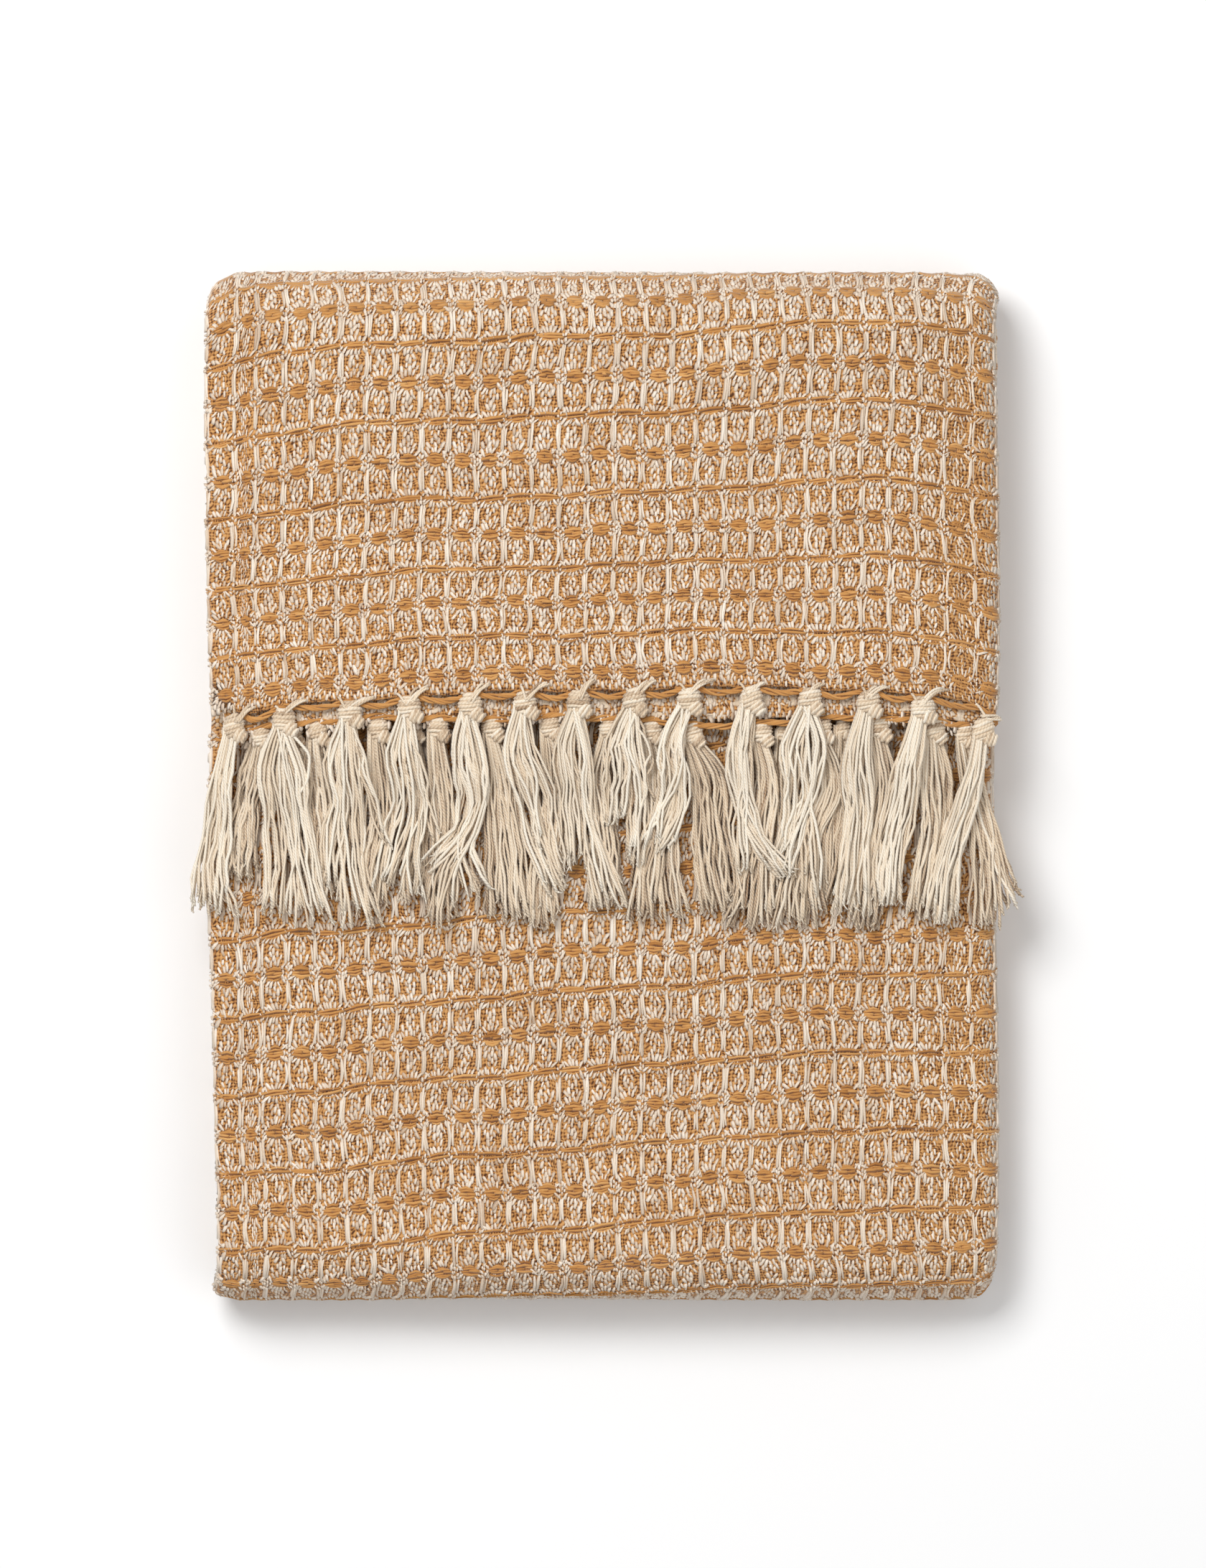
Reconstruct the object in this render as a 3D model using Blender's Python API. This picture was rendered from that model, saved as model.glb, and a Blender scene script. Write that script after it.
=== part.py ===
"""Waffle weave cotton throw, folded into a flat stack, with knotted tassels along its top flap.

Frame: metres, +Z up. X runs along the flap's edge, Y up the stack towards its thick folded end,
and the origin is at the bottom centre of the whole box. The cloth is folded twice across its width
into a strip of four layers, and the strip is rolled over itself three times along its length:
the middle length inside, the back on the floor, the front panel on it, and the flap on top.
"""
import math

import bmesh
import bpy
from mathutils import Vector

# Folded stack
STACK_WIDTH = 0.3200
STACK_DEPTH = 0.4195
SHEET = 0.0030
LAYER_PITCH = 0.0038
LAYERS_IN_STRIP = 4
STRIP = LAYERS_IN_STRIP * LAYER_PITCH
HALF_WIDTH = STACK_WIDTH / 2
HALF_DEPTH = STACK_DEPTH / 2

# Folds across the width, in a strip's own section
OUTER_FOLD_RADIUS = 1.5 * LAYER_PITCH
INNER_FOLD_RADIUS = 0.5 * LAYER_PITCH
RIGHT_FOLD_X = HALF_WIDTH - OUTER_FOLD_RADIUS - SHEET / 2
LEFT_FOLD_X = -(HALF_WIDTH - INNER_FOLD_RADIUS - SHEET / 2)
OUTER_FOLD_STEPS = 6
LEFT_FOLD_STEPS = 4
INNER_FOLD_STEPS = 3
COLUMN_X = (LEFT_FOLD_X, -0.1515, -0.143, -0.130, -0.085, -0.020, 0.050, 0.105, 0.135, RIGHT_FOLD_X)

# Folds along the length
BACK_Z = 0.5 * STRIP
MIDDLE_Z = 1.5 * STRIP
FRONT_Z = 2.5 * STRIP
FLAP_Z = 3.5 * STRIP
TOP_BEND_RADIUS = 1.5 * STRIP
BOTTOM_BEND_RADIUS = 1.0 * STRIP
INNER_BEND_RADIUS = 0.5 * STRIP
TOP_BEND_Y = HALF_DEPTH - 2.0 * STRIP
BOTTOM_BEND_Y = -(HALF_DEPTH - 1.5 * STRIP)
HIDDEN_END_Y = BOTTOM_BEND_Y + 0.004
TOP_BEND_STEPS = 8
BOTTOM_BEND_STEPS = 6
INNER_BEND_STEPS = 5
ROW_Y = (TOP_BEND_Y, 0.110, 0.040, -0.060, BOTTOM_BEND_Y)
FLAP_ROW_Y = (0.062, 0.110, TOP_BEND_Y)
FRONT_TOP = 3.0 * STRIP
FLOOR_GAP = (LAYER_PITCH - SHEET) / 2

# The flap's edge: where its face layer and the layers folded under it end. Columns: x, face, under
EDGE_COLUMNS = ("x", "face", "under")
FLAP_EDGE = (
    (-0.160, 0.0460, 0.0460),
    (-0.1515, 0.0285, 0.0250),
    (-0.143, 0.0285, 0.0250),
    (-0.130, 0.0325, 0.0265),
    (-0.085, 0.0364, 0.0285),
    (-0.020, 0.0385, 0.0290),
    (0.050, 0.0401, 0.0262),
    (0.105, 0.0395, 0.0290),
    (0.135, 0.0360, 0.0285),
    (0.1528, 0.0315, 0.0255),
    (0.160, 0.0262, 0.0250),
)
TUCKED_BACK = 0.0012

# How the soft stack settles
CROWN_DROP = 0.030
RIGHT_ROLL = 0.036
RIGHT_DROP = 0.200
LEFT_ROLL = 0.014
LEFT_DROP = 0.060
TROUGH_X = -0.1460
TROUGH_HALF_WIDTH = 0.011
TROUGH_DEPTH = 0.050
TROUGH_END_Y = 0.045
FLAP_SAG = 0.15
FLAP_SAG_END_Y = 0.025
FLAP_SAG_LENGTH = 0.035
CORNER_SPAN = 0.014
CORNER_REACH = 0.060
TOP_LEFT_CORNER = 0.0060
OTHER_CORNERS = 0.0020
LOWER_LEFT_INSET = 0.0022
INSET_LENGTH = 0.12
EDGE_WAVER = 0.0012
WAVER_HEIGHT = 0.041
WAVER_DEPTH = 0.300

# Tassels
CLEARANCE = 0.00045
KNOT_LENGTH = 0.0082
ROOT_HALF_HEIGHT = 0.0014
ROOT_SHARE = 0.92
KNOT_FLATNESS = 0.72
LOCK_STEPS = (0.16, 0.40, 0.70, 1.0)
LOCK_THICKNESS = (0.70, 0.68, 0.62, 0.34)
RAGGED = 0.10
RAGGED_BY_TASSEL = 700.0
RAGGED_BY_LOCK = 2.1

# A knot's rings from its back to its root. Columns: share of its length, of its width, of its height
KNOT_RINGS = (
    (0.00, 0.62, 0.55),
    (0.28, 1.00, 1.00),
    (0.66, 0.98, 0.95),
    (1.00, ROOT_SHARE, None),
)

# Rows of tassels. edge is the layer whose edge they hang from, and width and half_height are the knot's.
# Heights of a tassel's middle are above the front panel: knot at the knot, passing after a way of passed
# below it, and lying from settled on. locks is how many it is drawn out into.
TASSEL_ROWS = {
    "top": dict(edge="face", width=0.0100, half_height=0.0028, knot=0.0143,
                passing=0.0123, passed=0.021, lying=0.0063, settled=0.042, locks=7),
    "second": dict(edge="under", width=0.0096, half_height=0.0034, knot=0.0070,
                   passing=0.0056, passed=0.009, lying=0.0039, settled=0.024, locks=5),
    "third": dict(edge="under", width=0.0070, half_height=0.0028, knot=0.0040,
                  passing=0.0026, passed=0.008, lying=0.0015, settled=0.020, locks=4),
}

# One row for each tassel. Columns: row, knot x, tip x, tip y, width at the tips, sideways bow
TASSELS = (
    ("top", -0.1500, -0.1600, -0.0540, 0.0150, -0.0020),
    ("top", -0.1293, -0.1250, -0.0535, 0.0240, 0.0030),
    ("top", -0.1025, -0.1037, -0.0510, 0.0150, 0.0015),
    ("top", -0.0783, -0.0825, -0.0450, 0.0180, 0.0040),
    ("top", -0.0535, -0.0590, -0.0470, 0.0230, 0.0030),
    ("top", -0.0313, -0.0250, -0.0490, 0.0115, 0.0010),
    ("top", -0.0095, -0.0075, -0.0430, 0.0170, -0.0020),
    ("top", 0.0131, 0.0090, -0.0360, 0.0105, 0.0010),
    ("top", 0.0353, 0.0240, -0.0290, 0.0125, 0.0030),
    ("top", 0.0604, 0.0670, -0.0370, 0.0120, -0.0030),
    ("top", 0.0842, 0.0828, -0.0470, 0.0135, 0.0000),
    ("top", 0.1078, 0.1005, -0.0500, 0.0170, 0.0020),
    ("top", 0.1295, 0.1175, -0.0455, 0.0125, 0.0030),
    ("top", 0.1535, 0.1374, -0.0520, 0.0150, 0.0030),
    ("second", -0.1398, -0.1450, -0.0370, 0.0130, 0.0020),
    ("second", -0.1168, -0.1130, -0.0410, 0.0110, 0.0010),
    ("second", -0.0921, -0.0930, -0.0450, 0.0120, 0.0000),
    ("second", -0.0679, -0.0665, -0.0460, 0.0120, -0.0010),
    ("second", -0.0458, -0.0390, -0.0520, 0.0130, -0.0010),
    ("second", -0.0223, -0.0225, -0.0555, 0.0105, 0.0020),
    ("second", 0.0022, 0.0020, -0.0470, 0.0120, 0.0000),
    ("second", 0.0190, 0.0225, -0.0535, 0.0150, 0.0020),
    ("second", 0.0353, 0.0420, -0.0490, 0.0140, -0.0020),
    ("second", 0.0633, 0.0580, -0.0570, 0.0110, 0.0010),
    ("second", 0.0874, 0.0775, -0.0540, 0.0180, 0.0020),
    ("second", 0.1110, 0.1090, -0.0540, 0.0120, 0.0000),
    ("second", 0.1335, 0.1300, -0.0550, 0.0120, 0.0000),
    ("second", 0.1465, 0.1635, -0.0525, 0.0120, 0.0030),
    ("third", -0.1262, -0.1240, -0.0370, 0.0090, 0.0000),
    ("third", -0.0775, -0.0760, -0.0390, 0.0090, 0.0000),
    ("third", 0.0726, 0.0690, -0.0400, 0.0090, 0.0000),
    ("third", 0.0966, 0.0950, -0.0420, 0.0090, 0.0000),
)


def smooth(share):
    """An even rise from 0 to 1 with level ends."""
    share = min(max(share, 0.0), 1.0)
    return share * share * (3.0 - 2.0 * share)


def edge_y(column, x):
    """Where the flap's face layer, or the one under it, ends at this x."""
    which = EDGE_COLUMNS.index(column)
    if x <= FLAP_EDGE[0][0]:
        return FLAP_EDGE[0][which]
    for left, right in zip(FLAP_EDGE, FLAP_EDGE[1:]):
        if x <= right[0]:
            share = (x - left[0]) / (right[0] - left[0])
            return left[which] + share * (right[which] - left[which])
    return FLAP_EDGE[-1][which]


def arc(centre, radius, start_degrees, end_degrees, steps):
    """Points after the start of an arc and before its end, each with its direction from the centre."""
    points = []
    for step in range(1, steps):
        angle = math.radians(start_degrees + (end_degrees - start_degrees) * step / steps)
        out = (math.cos(angle), math.sin(angle))
        points.append((centre[0] + radius * out[0], centre[1] + radius * out[1], out))
    return points


def width_section():
    """The strip's section: (x, height from the strip's middle, normal of the cloth's face side, layer)."""
    outer = OUTER_FOLD_RADIUS
    inner = INNER_FOLD_RADIUS
    section = [(x, -outer, (0.0, -1.0), "under") for x in COLUMN_X]
    for x, height, out in arc((RIGHT_FOLD_X, 0.0), outer, -90, 90, OUTER_FOLD_STEPS):
        section.append((x, height, out, "mixed"))
    section += [(x, outer, (0.0, 1.0), "face") for x in reversed(COLUMN_X)]
    for x, height, out in arc((LEFT_FOLD_X, 2 * inner), inner, 90, 270, LEFT_FOLD_STEPS):
        section.append((x, height, out, "mixed"))
    section += [(x, inner, (0.0, -1.0), "under") for x in COLUMN_X]
    for x, height, out in arc((RIGHT_FOLD_X, 0.0), inner, 90, -90, INNER_FOLD_STEPS):
        section.append((x, height, (-out[0], -out[1]), "tucked"))
    section += [(x, -inner, (0.0, 1.0), "tucked") for x in reversed(COLUMN_X)]
    return section


def length_path():
    """The strip's middle line from the flap to the hidden end: (y, z, direction of its outer side)."""
    up = (0.0, 1.0)
    down = (0.0, -1.0)
    path = [(None, FLAP_Z, up)]
    path += [(y, FLAP_Z, up) for y in FLAP_ROW_Y]
    path += arc((TOP_BEND_Y, 2.0 * STRIP), TOP_BEND_RADIUS, 90, -90, TOP_BEND_STEPS)
    path += [(y, BACK_Z, down) for y in ROW_Y]
    path += arc((BOTTOM_BEND_Y, MIDDLE_Z), BOTTOM_BEND_RADIUS, 270, 90, BOTTOM_BEND_STEPS)
    path += [(y, FRONT_Z, up) for y in reversed(ROW_Y)]
    path += arc((TOP_BEND_Y, 2.0 * STRIP), INNER_BEND_RADIUS, 90, -90, INNER_BEND_STEPS)
    path += [(y, MIDDLE_Z, down) for y in ROW_Y[:-1]]
    path.append((HIDDEN_END_Y, MIDDLE_Z, down))
    return path


def flap_end(x, layer):
    """The y at which a layer of the flap ends."""
    if layer == "face":
        return edge_y("face", x)
    if layer == "mixed":
        return (edge_y("face", x) + edge_y("under", x)) / 2
    if layer == "tucked":
        return edge_y("under", x) + TUCKED_BACK
    return edge_y("under", x)


def settle(point):
    """Moves a point of the square-cut stack to where the soft stack's weight and corners take it."""
    x, y, z = point
    right = smooth((x - (HALF_WIDTH - RIGHT_ROLL)) / RIGHT_ROLL)
    left = smooth((-x - (HALF_WIDTH - LEFT_ROLL)) / LEFT_ROLL)
    fade = smooth((y - TROUGH_END_Y) / (TOP_BEND_Y - TROUGH_END_Y))
    trough = TROUGH_DEPTH * fade * math.exp(-((x - TROUGH_X) / TROUGH_HALF_WIDTH) ** 2)
    crown = CROWN_DROP * min(abs(x) / HALF_WIDTH, 1.0) ** 2
    loft = 1.0 - crown - trough - RIGHT_DROP * right - LEFT_DROP * left
    if z > FRONT_TOP:
        sag = FLAP_SAG * smooth(1.0 - (y - FLAP_SAG_END_Y) / FLAP_SAG_LENGTH)
        z = FRONT_TOP + (z - FRONT_TOP) * (1.0 - sag)
    z = (z - FLOOR_GAP) * loft
    to_side = min(max((abs(x) - (HALF_WIDTH - CORNER_SPAN)) / CORNER_SPAN, 0.0), 1.0)
    to_end = smooth((abs(y) - (HALF_DEPTH - CORNER_REACH)) / CORNER_REACH)
    corner = TOP_LEFT_CORNER if x < 0.0 < y else OTHER_CORNERS
    inset = LOWER_LEFT_INSET * smooth(-y / INSET_LENGTH) * smooth(-x / HALF_WIDTH)
    y -= math.copysign(corner * to_side ** 2 * to_end, y)
    waver = EDGE_WAVER * math.sin(2 * math.pi * (z / WAVER_HEIGHT + y / WAVER_DEPTH))
    return Vector((x + inset + waver, y, z))


def add_object(name, bm, material):
    """Turns a finished bmesh into a named object with its material, shaded smooth but for its edges."""
    bmesh.ops.recalc_face_normals(bm, faces=bm.faces)
    mesh = bpy.data.meshes.new(name)
    bm.to_mesh(mesh)
    bm.free()
    mesh.materials.append(material)
    mesh.shade_smooth()
    mesh.set_sharp_from_angle(angle=math.radians(50))
    obj = bpy.data.objects.new(name, mesh)
    bpy.context.scene.collection.objects.link(obj)
    return obj


def cloth_side(bm, section, path, side):
    """One side of the folded cloth as a grid of vertices, half a sheet out from its middle."""
    grid = []
    for x, height, normal, layer in section:
        column = []
        for y, z, out in path:
            reach = height + side * normal[1] * SHEET / 2
            at_y = flap_end(x, layer) if y is None else y
            place = (x + side * normal[0] * SHEET / 2, at_y + reach * out[0], z + reach * out[1])
            column.append(bm.verts.new(settle(place)))
        grid.append(column)
    return grid


def make_blanket(material):
    """The woven cloth: both sides of the folded sheet, joined along its four edges."""
    section = width_section()
    path = length_path()
    bm = bmesh.new()
    face = cloth_side(bm, section, path, 1.0)
    reverse = cloth_side(bm, section, path, -1.0)
    last_u = len(section) - 1
    last_s = len(path) - 1
    for u in range(last_u):
        for s in range(last_s):
            bm.faces.new((face[u][s], face[u + 1][s], face[u + 1][s + 1], face[u][s + 1]))
            bm.faces.new((reverse[u][s], reverse[u][s + 1], reverse[u + 1][s + 1], reverse[u + 1][s]))
        for s in (0, last_s):
            bm.faces.new((face[u][s], reverse[u][s], reverse[u + 1][s], face[u + 1][s]))
    for s in range(last_s):
        for u in (0, last_u):
            bm.faces.new((face[u][s], face[u][s + 1], reverse[u][s + 1], reverse[u][s]))
    return add_object("blanket", bm, material)


def strip_corner(index, locks):
    """A corner of the row of triangles that the locks grow from: its share of width and of height."""
    across = 2.0 * index / (locks + 1) - 1.0
    up = 1.0 if index % 2 else -1.0
    return across, up * math.sqrt(1.0 - KNOT_FLATNESS * across * across)


def knot_back_y(row, x):
    """The foremost place at which a knot clears the cloth's edge over its whole width."""
    reach = row["width"] / 2
    return min(edge_y(row["edge"], x + shift) for shift in (-reach, 0.0, reach)) - CLEARANCE


def lock_height(row, below_knot):
    """Height of a lock's middle above the front panel, a way down from its knot."""
    if below_knot < row["passed"]:
        share = smooth(below_knot / row["passed"])
        return row["knot"] + share * (row["passing"] - row["knot"])
    share = smooth((below_knot - row["passed"]) / (row["settled"] - row["passed"]))
    return row["passing"] + share * (row["lying"] - row["passing"])


def make_tassel(name, row, knot_x, tip, tip_width, bow, material):
    """A knot with its locks: a row of triangles drawn out into the knot, then each into its lock."""
    locks = row["locks"]
    back_y = knot_back_y(row, knot_x)
    root = Vector((knot_x, back_y - KNOT_LENGTH))
    run = tip - root
    side = Vector((-run.y, run.x)).normalized()
    if side.x < 0.0:
        side = -side
    bm = bmesh.new()
    corners = [bm.verts.new((0.0, 0.0, 0.0)) for _ in range(locks + 2)]
    faces = [bm.faces.new(corners[index:index + 3]) for index in range(locks)]
    order = {vert: index for index, vert in enumerate(corners)}
    for number, (length, width, height) in enumerate(KNOT_RINGS):
        half_height = ROOT_HALF_HEIGHT if height is None else row["half_height"] * height
        if number:
            made = bmesh.ops.extrude_face_region(bm, geom=whole_row(faces))["geom"]
            faces = [part for part in made if isinstance(part, bmesh.types.BMFace)]
            order = follow(order, faces)
        for vert, index in order.items():
            across, up = strip_corner(index, locks)
            vert.co = (knot_x + across * width * row["width"] / 2,
                       back_y - length * KNOT_LENGTH,
                       FRONT_TOP + row["knot"] + up * half_height)
    for face in faces:
        index = min(order[vert] for vert in face.verts)
        draw_out_lock(bm, face, order, index, row, root, run, side, tip_width, bow)
    for vert in bm.verts:
        vert.co = settle(vert.co)
    return add_object(name, bm, material)


def whole_row(faces):
    """The faces of a row with their edges and vertices, each once."""
    parts = list(faces)
    for face in faces:
        parts += [edge for edge in face.edges if edge not in parts]
        parts += [vert for vert in face.verts if vert not in parts]
    return parts


def follow(order, faces):
    """Finds which strip corner each vertex of an extruded row stands for, by its place."""
    places = {index: vert.co.copy() for vert, index in order.items()}
    verts = {vert for face in faces for vert in face.verts}
    return {vert: min(places, key=lambda index: (places[index] - vert.co).length) for vert in verts}


def draw_out_lock(bm, face, order, index, row, root, run, side, tip_width, bow):
    """Draws one triangle of the root out along its lock's route, thinner towards the tip."""
    locks = row["locks"]
    middle = (index + 1) * 2.0 / (locks + 1) - 1.0
    shares = {}
    for vert in face.verts:
        across, up = strip_corner(order[vert], locks)
        shares[order[vert]] = (across - middle, up)
    end = 1.0 - RAGGED * abs(math.sin(RAGGED_BY_TASSEL * root.x + RAGGED_BY_LOCK * index))
    pitch_at_root = row["width"] * ROOT_SHARE / 2
    for step, thickness in zip(LOCK_STEPS, LOCK_THICKNESS):
        share = step * end
        spread = pitch_at_root + (tip_width / 2 - pitch_at_root) * smooth(share)
        lateral = middle * spread + bow * math.sin(math.pi * share)
        centre = root + run * share + side * lateral
        height = FRONT_TOP + lock_height(row, run.length * share)
        places = {order[vert]: vert for vert in face.verts}
        made = bmesh.ops.extrude_discrete_faces(bm, faces=[face])["faces"][0]
        grown = follow({vert: number for number, vert in places.items()}, [made])
        for vert, number in grown.items():
            across, up = shares[number]
            offset = across * pitch_at_root * thickness
            vert.co = (centre.x + side.x * offset, centre.y + side.y * offset,
                       height + up * ROOT_HALF_HEIGHT * thickness)
        face = made
        order = grown


def centre_on_floor(objects):
    """Moves everything so that the whole box stands on z = 0 with the origin at its middle."""
    points = [vert.co for obj in objects for vert in obj.data.vertices]
    low = Vector(min(point[axis] for point in points) for axis in range(3))
    high = Vector(max(point[axis] for point in points) for axis in range(3))
    shift = Vector((-(low.x + high.x) / 2, -(low.y + high.y) / 2, 0.0))
    for obj in objects:
        for vert in obj.data.vertices:
            vert.co += shift


def cloth_material(name, colour, roughness):
    """A matt cotton material."""
    material = bpy.data.materials.new(name)
    material.use_nodes = True
    shader = material.node_tree.nodes["Principled BSDF"]
    shader.inputs["Base Color"].default_value = (*colour, 1.0)
    shader.inputs["Roughness"].default_value = roughness
    shader.inputs["Metallic"].default_value = 0.0
    return material


def main():
    for obj in list(bpy.data.objects):
        bpy.data.objects.remove(obj)
    weave = cloth_material("waffle_weave", (0.62, 0.44, 0.25), 0.92)
    fringe = cloth_material("fringe_yarn", (0.76, 0.66, 0.52), 0.90)
    objects = [make_blanket(weave)]
    counts = {}
    for row_name, knot_x, tip_x, tip_y, tip_width, bow in TASSELS:
        counts[row_name] = counts.get(row_name, 0) + 1
        name = f"tassel_{row_name}_{counts[row_name]:02d}"
        tip = Vector((tip_x, tip_y))
        objects.append(make_tassel(name, TASSEL_ROWS[row_name], knot_x, tip, tip_width, bow, fringe))
    centre_on_floor(objects)


main()
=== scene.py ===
# %% [markdown]
# # A folded waffle weave throw
# A cotton throw lies folded on a pale floor, seen from straight above. Cream warp runs up and down, mustard
# weft runs across, and the warp ends of its loose edge are knotted into tassels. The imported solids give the
# folded form. Here the cloth is made again on the same folds, with its stitches and yarns, so that it can be
# looked at closely.

import math

import bmesh
import bpy
import numpy as np
from mathutils import Matrix, Vector


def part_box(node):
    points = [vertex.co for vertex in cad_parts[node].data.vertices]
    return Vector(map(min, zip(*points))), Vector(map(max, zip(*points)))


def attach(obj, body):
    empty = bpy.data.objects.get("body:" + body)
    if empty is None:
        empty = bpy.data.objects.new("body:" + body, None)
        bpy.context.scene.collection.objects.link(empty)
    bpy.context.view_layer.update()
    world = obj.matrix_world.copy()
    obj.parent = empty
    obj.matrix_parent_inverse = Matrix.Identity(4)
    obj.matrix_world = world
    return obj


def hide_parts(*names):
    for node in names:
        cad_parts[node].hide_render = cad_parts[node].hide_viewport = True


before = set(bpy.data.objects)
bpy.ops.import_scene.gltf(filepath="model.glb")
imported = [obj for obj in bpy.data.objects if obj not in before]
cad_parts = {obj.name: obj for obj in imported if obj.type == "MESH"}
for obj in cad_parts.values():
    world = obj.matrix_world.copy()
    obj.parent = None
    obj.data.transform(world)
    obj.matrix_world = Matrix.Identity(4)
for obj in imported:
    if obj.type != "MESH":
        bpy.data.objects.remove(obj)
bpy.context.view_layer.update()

# %% [markdown]
# ## The folds
# The throw is folded twice across its width into a strip four layers thick, and the strip is rolled over
# itself three times. A sheet could be draped by a simulation, but sixteen layers take a long time and end up
# anywhere. The folds are instead a map: a place on the flat cloth goes in, and its place in the stack comes
# out. The sheet, every stitch and the edge cords go through the same map, so they always lie on each other.

# %% Sizes of the stack, the same as the solid's
STACK_WIDTH, STACK_DEPTH = 0.3200, 0.4195
HALF_WIDTH, HALF_DEPTH = STACK_WIDTH / 2, STACK_DEPTH / 2
SHEET = 0.0030
LAYER_PITCH = 0.0038
STRIP = 4 * LAYER_PITCH
OUTER_FOLD = 1.5 * LAYER_PITCH
INNER_FOLD = 0.5 * LAYER_PITCH
RIGHT_FOLD_X = HALF_WIDTH - OUTER_FOLD - SHEET / 2
LEFT_FOLD_X = -(HALF_WIDTH - INNER_FOLD - SHEET / 2)
PANEL = RIGHT_FOLD_X - LEFT_FOLD_X
TOP_BEND_Y = HALF_DEPTH - 2.0 * STRIP
BOTTOM_BEND_Y = -(HALF_DEPTH - 1.5 * STRIP)
FRONT_TOP = 3.0 * STRIP
FLOOR_GAP = (LAYER_PITCH - SHEET) / 2
print("panel between the side folds, metres:", round(PANEL, 4))

# %% Across the cloth: the four layers of the strip
LEFT_TURN = math.pi / 2 * INNER_FOLD
OUTER_TURN = math.pi * OUTER_FOLD
INNER_TURN = math.pi * INNER_FOLD


def across_strip(a):
    """Place in the strip's section, and the way the cloth faces there, at a distance from its left fold."""
    far = np.abs(a)
    turn = np.where(a > 0, OUTER_FOLD, INNER_FOLD)
    on_panel = far - LEFT_TURN
    in_turn = on_panel - PANEL
    after = in_turn - math.pi * turn
    angle = math.pi - a / INNER_FOLD
    fold = math.pi / 2 - np.clip(in_turn, 0, math.pi * turn) / turn
    facing = np.where(a > 0, 1.0, -1.0)
    parts = [far < LEFT_TURN, on_panel < PANEL, after < 0]
    x = np.select(parts, [LEFT_FOLD_X + INNER_FOLD * np.cos(angle), LEFT_FOLD_X + on_panel,
                          RIGHT_FOLD_X + turn * np.cos(fold)], RIGHT_FOLD_X - after)
    height = np.select(parts, [2 * INNER_FOLD + INNER_FOLD * np.sin(angle), turn, turn * np.sin(fold)], -turn)
    face_x = np.select(parts, [np.cos(angle), 0 * a, facing * np.cos(fold)], 0.0)
    face_up = np.select(parts, [np.sin(angle), facing, facing * np.sin(fold)], -facing)
    return x, height, face_x, face_up


HALF_CLOTH = LEFT_TURN + PANEL + OUTER_TURN + PANEL
OTHER_HALF = LEFT_TURN + PANEL + INNER_TURN + PANEL
print("cloth's width, metres:", round(HALF_CLOTH + OTHER_HALF, 3))

# %% Along the cloth: flap, top bend, underside, bottom bend, front, and the part rolled inside
EDGE_Y = 0.0401
FACE_RISE = OUTER_FOLD + SHEET / 2
BENDS = {"top": (TOP_BEND_Y, 2.0 * STRIP, 1.5 * STRIP), "bottom": (BOTTOM_BEND_Y, 1.5 * STRIP, 1.0 * STRIP),
         "inside": (TOP_BEND_Y, 2.0 * STRIP, 0.5 * STRIP)}
LONG_RUN = TOP_BEND_Y - BOTTOM_BEND_Y
FLAP_END = TOP_BEND_Y - EDGE_Y
UNDER_START = FLAP_END + math.pi * (BENDS["top"][2] + FACE_RISE)
UNDER_END = UNDER_START + LONG_RUN
FRONT_START = UNDER_END + math.pi * (BENDS["bottom"][2] + FACE_RISE)
FRONT_END = FRONT_START + LONG_RUN
HIDDEN_START = FRONT_END + math.pi * (BENDS["inside"][2] + FACE_RISE)
CLOTH_END = HIDDEN_START + LONG_RUN - 0.004


def round_bend(bend, distance, start, way):
    """Place and outward direction on a bend, at a distance along its outer face."""
    y, z, radius = BENDS[bend]
    angle = start + way * np.clip(distance / (radius + FACE_RISE), 0.0, math.pi)
    return y + radius * np.cos(angle), z + radius * np.sin(angle), np.cos(angle), np.sin(angle)


def along_strip(b):
    """Middle of the strip and its outward direction at a distance from the flap's edge."""
    one, none = np.ones_like(b), np.zeros_like(b)
    runs = [
        (b < FLAP_END, (EDGE_Y + b, 3.5 * STRIP * one, none, one)),
        (b < UNDER_START, round_bend("top", b - FLAP_END, math.pi / 2, -1)),
        (b < UNDER_END, (TOP_BEND_Y - (b - UNDER_START), 0.5 * STRIP * one, none, -one)),
        (b < FRONT_START, round_bend("bottom", b - UNDER_END, 1.5 * math.pi, -1)),
        (b < FRONT_END, (BOTTOM_BEND_Y + (b - FRONT_START), 2.5 * STRIP * one, none, one)),
        (b < HIDDEN_START, round_bend("inside", b - FRONT_END, math.pi / 2, -1)),
    ]
    last = (TOP_BEND_Y - (b - HIDDEN_START), 1.5 * STRIP * one, none, -one)
    where = [run[0] for run in runs]
    return [np.select(where, [run[1][part] for run in runs], last[part]) for part in range(4)]


print("from the flap's edge to the hidden end, metres:", round(CLOTH_END, 3))

# %% The flap's edge, which every row of the weave follows
# Columns: x, where the face layer ends, where the layers under it end
FLAP_EDGE = np.array([
    (-0.1600, 0.0460, 0.0460), (-0.1515, 0.0285, 0.0250), (-0.1430, 0.0285, 0.0250),
    (-0.1300, 0.0325, 0.0265), (-0.0850, 0.0364, 0.0285), (-0.0200, 0.0385, 0.0290),
    (0.0500, 0.0401, 0.0262), (0.1050, 0.0395, 0.0290), (0.1350, 0.0360, 0.0285),
    (0.1528, 0.0315, 0.0255), (0.1600, 0.0262, 0.0250)])
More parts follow.
